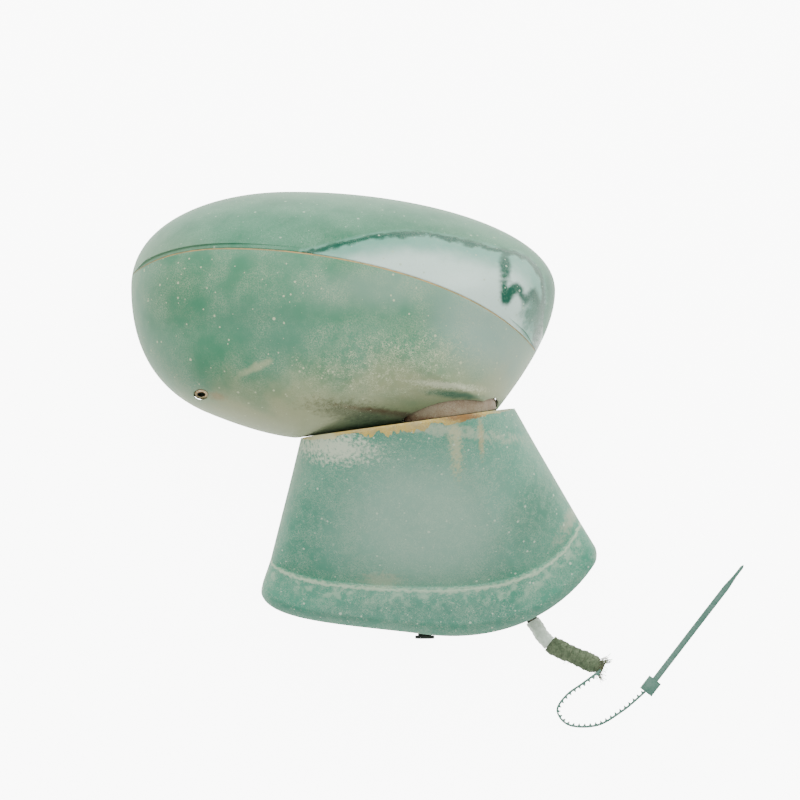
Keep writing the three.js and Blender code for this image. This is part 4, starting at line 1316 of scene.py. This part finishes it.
@dataclass
class Harness:
    """The cut-off loom, its sleeve and tape, and the cable tie on its end."""

    diameter: float = 7.0 * MM

    def build(self) -> None:
        route = spline([
            (48, 3.2, -27), (48.1, 8, -27.8), (51, 13, -36), (56, 13.5, -47), (62.5, 13, -58), (68, 12, -65),
            (76, 12, -69.5), (88, 12, -74.8), (99.5, 12, -80),
        ])
        sweep = Sweep(Track(route))
        wires = self._wires(sweep)
        dress(wires, WIRE, Slot.CLOTH, Body.FOOT, "harness")
        sleeve = self._sleeve(sweep)
        dress(sleeve, SLEEVE, Slot.WHITE, Body.FOOT, "label_sleeve")
        tape = self._tape(sweep)
        dress(tape, CLOTH, Slot.CLOTH, Body.FOOT, "loom_tape")
        fibres = self._fibres(sweep)
        dress(fibres, FIBRE, Slot.CLOTH, Body.FOOT)
        tie = self._tie()
        dress(tie, TIE, Slot.DARK, Body.FOOT, "cable_tie")
        log.info("harness length %.1f mm", sweep.track.length / MM)

    def _wires(self, sweep: Sweep) -> bpy.types.Object:
        """Seven wires twisted together."""
        mesh = bmesh.new()
        thin = self.diameter / 3
        for index in range(7):
            turn = 2 * math.pi * index / 6
            away = 0.0 if index == 6 else thin

            def offset(share: float, turn: float = turn, away: float = away) -> tuple:
                """Place of one wire in the twisted bundle."""
                angle = turn + share * 9.0
                return away * math.cos(angle), away * math.sin(angle)

            add_tube(mesh, sweep, lambda u, s: thin * 0.5, (0.0, 1.0), 10, 90, offset)
        return finished("wires", mesh)

    def _sleeve(self, sweep: Sweep) -> bpy.types.Object:
        """Crinkled film sleeve."""
        def radius(u: float, share: float) -> float:
            """Radius with its crinkles."""
            crinkle = 0.16 * math.sin(2 * math.pi * (3 * u) + 60 * share) + 0.1 * math.sin(190 * share + 9 * u)
            return (4.15 + crinkle) * MM

        mesh = bmesh.new()
        add_tube(mesh, sweep, radius, (0.40, 0.595), 40, 70)
        return finished("sleeve", mesh)

    def _tape(self, sweep: Sweep) -> bpy.types.Object:
        """Cloth tape wound in overlapping turns."""
        def radius(u: float, share: float) -> float:
            """Radius with the tape's overlaps, its lumps and its thin cut end."""
            wound = (share * 21 + u) % 1.0
            lumps = 0.22 * math.sin(2 * math.pi * 2 * u + 31 * share)
            lumps += 0.12 * math.sin(2 * math.pi * 5 * u - 70 * share)
            taper = 1 - 0.5 * smooth(0.93, 0.99, share)
            return (4.9 + 0.5 * wound + lumps) * MM * taper

        mesh = bmesh.new()
        add_tube(mesh, sweep, radius, (0.598, 0.985), 56, 170)
        return finished("tape", mesh)

    def _fibres(self, sweep: Sweep) -> bpy.types.Object:
        """Frayed threads along the tape and at its cut end."""
        rng = random.Random(11)
        mesh = bmesh.new()
        for _ in range(210):
            at_end = rng.random() < 0.55
            share = rng.uniform(0.95, 0.985) if at_end else rng.uniform(0.61, 0.96)
            turn = rng.uniform(0, 2 * math.pi)
            reach = rng.uniform(2.0, 6.5) * MM if at_end else rng.uniform(1.0, 2.6) * MM
            base = sweep.point(share, 4.3 * MM * math.cos(turn), 4.3 * MM * math.sin(turn))
            out = (base - Vector(sweep.track.at(share))).normalized()
            along = (Vector(sweep.track.at(1.0)) - Vector(sweep.track.at(0.9))).normalized()
            lean = along * rng.uniform(0.3, 1.0) if at_end else along * rng.uniform(-0.9, 0.9)
            tip = base + (out * rng.uniform(0.2, 0.9) + lean).normalized() * reach
            bow = Vector((rng.uniform(-1, 1), rng.uniform(-1, 1), rng.uniform(-1, 1))) * reach * 0.2
            thread = Sweep(Track(np.array([base - out * 0.6 * MM, base.lerp(tip, 0.5) + bow, tip])))
            add_tube(mesh, thread, lambda u, s: 0.11 * MM, (0.0, 1.0), 4, 8)
        return finished("fibres", mesh, 1e-7, math.radians(80))

    def _tie(self) -> bpy.types.Object:
        """Cable tie: toothed strap bent round, head block and pointed tail."""
        loop = [(98, -80.4), (88, -87.8), (78, -95.2), (73, -104), (80, -112), (96, -112), (110, -104),
                (119.7, -96), (125, -91)]
        strap_line = Track(spline([(x, 3.6, z) for x, z in loop], 24))
        teeth = int(strap_line.length / (3.2 * MM))
        mesh = bmesh.new()
        rows = teeth * 8

        def strap(u: float, v: float) -> Vector:
            """Point of the flat strap, with saw teeth on one side."""
            column = int(round(u * 8)) % 8
            across = (-1, 0, 1, 1, 1, 0, -1, -1)[column] * 1.8 * MM
            side = (1, 1, 1, 0, -1, -1, -1, 0)[column]
            row = v * rows
            saw = smooth(0.5, 0.8, (row / 8) % 1.0)
            closed = open_between(v, 0.5 / rows)
            thick = (0.55 + (1.3 * saw if side < 0 else 0.0)) * MM * closed
            tangent = strap_line.at(min(v + 0.01, 1)) - strap_line.at(max(v - 0.01, 0))
            normal = Vector((tangent[2], 0.0, -tangent[0])).normalized()
            return Vector(strap_line.at(v)) + normal * side * thick + Vector((0, across * closed, 0))

        bent_grid(mesh, 8, rows, strap)
        turn = Matrix.Translation(Vector((126, 3.6, -90)) * MM) @ Matrix.Rotation(math.radians(-52.4), 4, "Y")
        bmesh.ops.create_cube(mesh, size=1.0, matrix=turn @ Matrix.Translation((0.5 * MM, 0, 0))
                              @ Matrix.Diagonal((9 * MM, 6.4 * MM, 8 * MM, 1)))

        def tail(u: float, v: float) -> Vector:
            """Point of the ribbed tail, which narrows to its tip."""
            angle = 2 * math.pi * u
            reach = mix(4, 88, v)
            closed = open_between(v, 1e-6)
            width = 1.8 * MM * (1 - 0.45 * smooth(70, 82, reach) - 0.35 * smooth(86, 88, reach)) * closed
            flat = MM * (0.55 + 0.12 * math.sin(reach * 3.7)) * closed
            bow = 1.2 * MM * math.sin(math.pi * (reach - 4) / 84)
            thick = flat * squared(math.sin(angle)) + bow
            return turn @ Vector((reach * MM, thick, width * squared(math.cos(angle))))

        bent_grid(mesh, 16, 160, tail)
        settle(mesh)
        tie = new_object("tie", mesh)
        round_edges(tie, 0.25 * MM, 60)
        shade(tie)
        return tie


@dataclass
class Fitting:
    """A CAD piece shown as a copy with rounded edges."""

    node: str
    body: Body
    slot: Slot
    finish: Finish
    bevel: float = 0.22 * MM

    def build(self) -> bpy.types.Object:
        """Copies the node's mesh, welds it, rounds its edges and dresses it."""
        mesh = bmesh.new()
        mesh.from_mesh(frame["nodes"][self.node].data)
        bmesh.ops.remove_doubles(mesh, verts=mesh.verts, dist=1e-6)
        bmesh.ops.recalc_face_normals(mesh, faces=mesh.faces)
        bmesh.ops.dissolve_limit(mesh, angle_limit=math.radians(0.6), verts=mesh.verts, edges=mesh.edges)
        thing = new_object(f"{self.node}_look", mesh)
        round_edges(thing, self.bevel, 38)
        shade(thing, math.radians(32))
        return dress(thing, self.finish, self.slot, self.body, self.node)


@dataclass
class Fittings:
    """Every piece that is shown as a rounded copy of its CAD node."""

    own: dict = field(default_factory=lambda: {"pivot_collar": COLLAR, "drain_insert": INSERT})
    made_here: tuple = (
        "upper_cap", "lower_shell", "foot_cover", "harness", "label_sleeve", "loom_tape", "cable_tie",
    )

    def build(self) -> None:
        """Builds a copy of each node not modelled elsewhere."""
        record = frame["record"]
        slots = {row["node"]: row["material_slot"] for row in record["subparts"]}
        for body, nodes in record["behaviour"]["bodies"].items():
            for node in nodes:
                if node not in self.made_here:
                    slot = Slot(slots[node])
                    Fitting(node, Body(body), slot, self.own.get(node, LOOKS[slot])).build()


@dataclass
class Studio:
    """Camera, pale ground behind the part and soft lights."""

    middle: Vector = field(default_factory=lambda: Vector((-17.1, 0.0, 74.1)) * MM)
    far: float = 3.05
    lens: float = 240
    ground_y: float = 0.045
    glow_seen: float = 7.0
    glow_cast: float = 1.4

    def build(self) -> None:
        """Sets up the stage."""
        camera = bpy.data.cameras.new("camera")
        camera.lens = self.lens
        camera.sensor_width = 36
        seen = bpy.data.objects.new("camera", camera)
        seen.location = self.middle + Vector((0, -self.far, 0))
        seen.rotation_euler = Euler((math.radians(90), 0, 0))
        bpy.context.scene.collection.objects.link(seen)
        bpy.context.scene.camera = seen
        mesh = bmesh.new()
        upright = Matrix.Translation((0, self.ground_y, 0)) @ Matrix.Rotation(math.radians(90), 4, "X")
        bmesh.ops.create_grid(mesh, x_segments=1, y_segments=1, size=3.0, matrix=upright)
        ground = new_object("ground", mesh)
        ground.data.materials.append(self._ground_material())
        lights = [
            self._lamp("key", Vector((-0.35, -0.9, 1.1)), 0.7, 11.5, (1.0, 0.99, 0.95)),
            self._lamp("front", Vector((0.1, -1.3, 0.25)), 1.0, 11.0, (0.96, 1.0, 0.98)),
            self._lamp("side", Vector((0.62, -0.62, 0.72)), 0.4, 3.0, (1.0, 1.0, 1.0)),
        ]
        world = bpy.data.worlds.new("world")
        world.use_nodes = True
        world.node_tree.nodes["Background"].inputs["Color"].default_value = (0.95, 1.0, 0.95, 1)
        world.node_tree.nodes["Background"].inputs["Strength"].default_value = 0.5
        bpy.context.scene.world = world

    def _ground_material(self) -> bpy.types.Material:
        """Pale ground, clear from behind."""
        made = bpy.data.materials.new("ground")
        made.use_nodes = True
        made.node_tree.nodes.clear()
        graph = Graph(made.node_tree)
        shader = graph.node("ShaderNodeBsdfDiffuse")
        place = graph.millimetres()
        tone = graph.blend(graph.noise(place, 0.01, 2.0), (0.93, 0.96, 0.9, 1), (0.96, 0.96, 0.93, 1))
        graph.put(shader.inputs["Color"], tone)
        glow = graph.node("ShaderNodeEmission")
        seen = graph.node("ShaderNodeLightPath").outputs["Is Camera Ray"]
        graph.put(glow.inputs["Strength"], graph.math("MULTIPLY_ADD", seen, self.glow_seen, self.glow_cast))
        lit = graph.node("ShaderNodeAddShader")
        graph.put(lit.inputs[0], shader.outputs[0])
        graph.put(lit.inputs[1], glow.outputs[0])
        clear = graph.node("ShaderNodeBsdfTransparent")
        sides = graph.node("ShaderNodeMixShader")
        graph.put(sides.inputs[0], graph.node("ShaderNodeNewGeometry").outputs["Backfacing"])
        graph.put(sides.inputs[1], lit.outputs[0])
        graph.put(sides.inputs[2], clear.outputs[0])
        graph.put(graph.node("ShaderNodeOutputMaterial").inputs["Surface"], sides.outputs[0])
        return made

    def _lamp(self, name: str, place: Vector, size: float, power: float, colour: tuple) -> bpy.types.Object:
        """Square area light aimed at the part."""
        data = bpy.data.lights.new(name, "AREA")
        data.size = size
        data.energy = power
        data.color = colour
        lamp = bpy.data.objects.new(name, data)
        lamp.location = place
        lamp.rotation_euler = (self.middle - place).to_track_quat("-Z", "Y").to_euler()
        bpy.context.scene.collection.objects.link(lamp)
        return lamp


def main() -> None:
    """Builds the mirror's looks and its stage in order."""
    logging.basicConfig(level=logging.INFO, format="%(name)s: %(message)s")
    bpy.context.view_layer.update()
    joint = FoldJoint()
    Fittings().build()
    Head(HeadForm(joint), joint).build()
    Foot(FootForm(joint), joint).build()
    Harness().build()
    Studio().build()


if __name__ == "__main__":
    main()
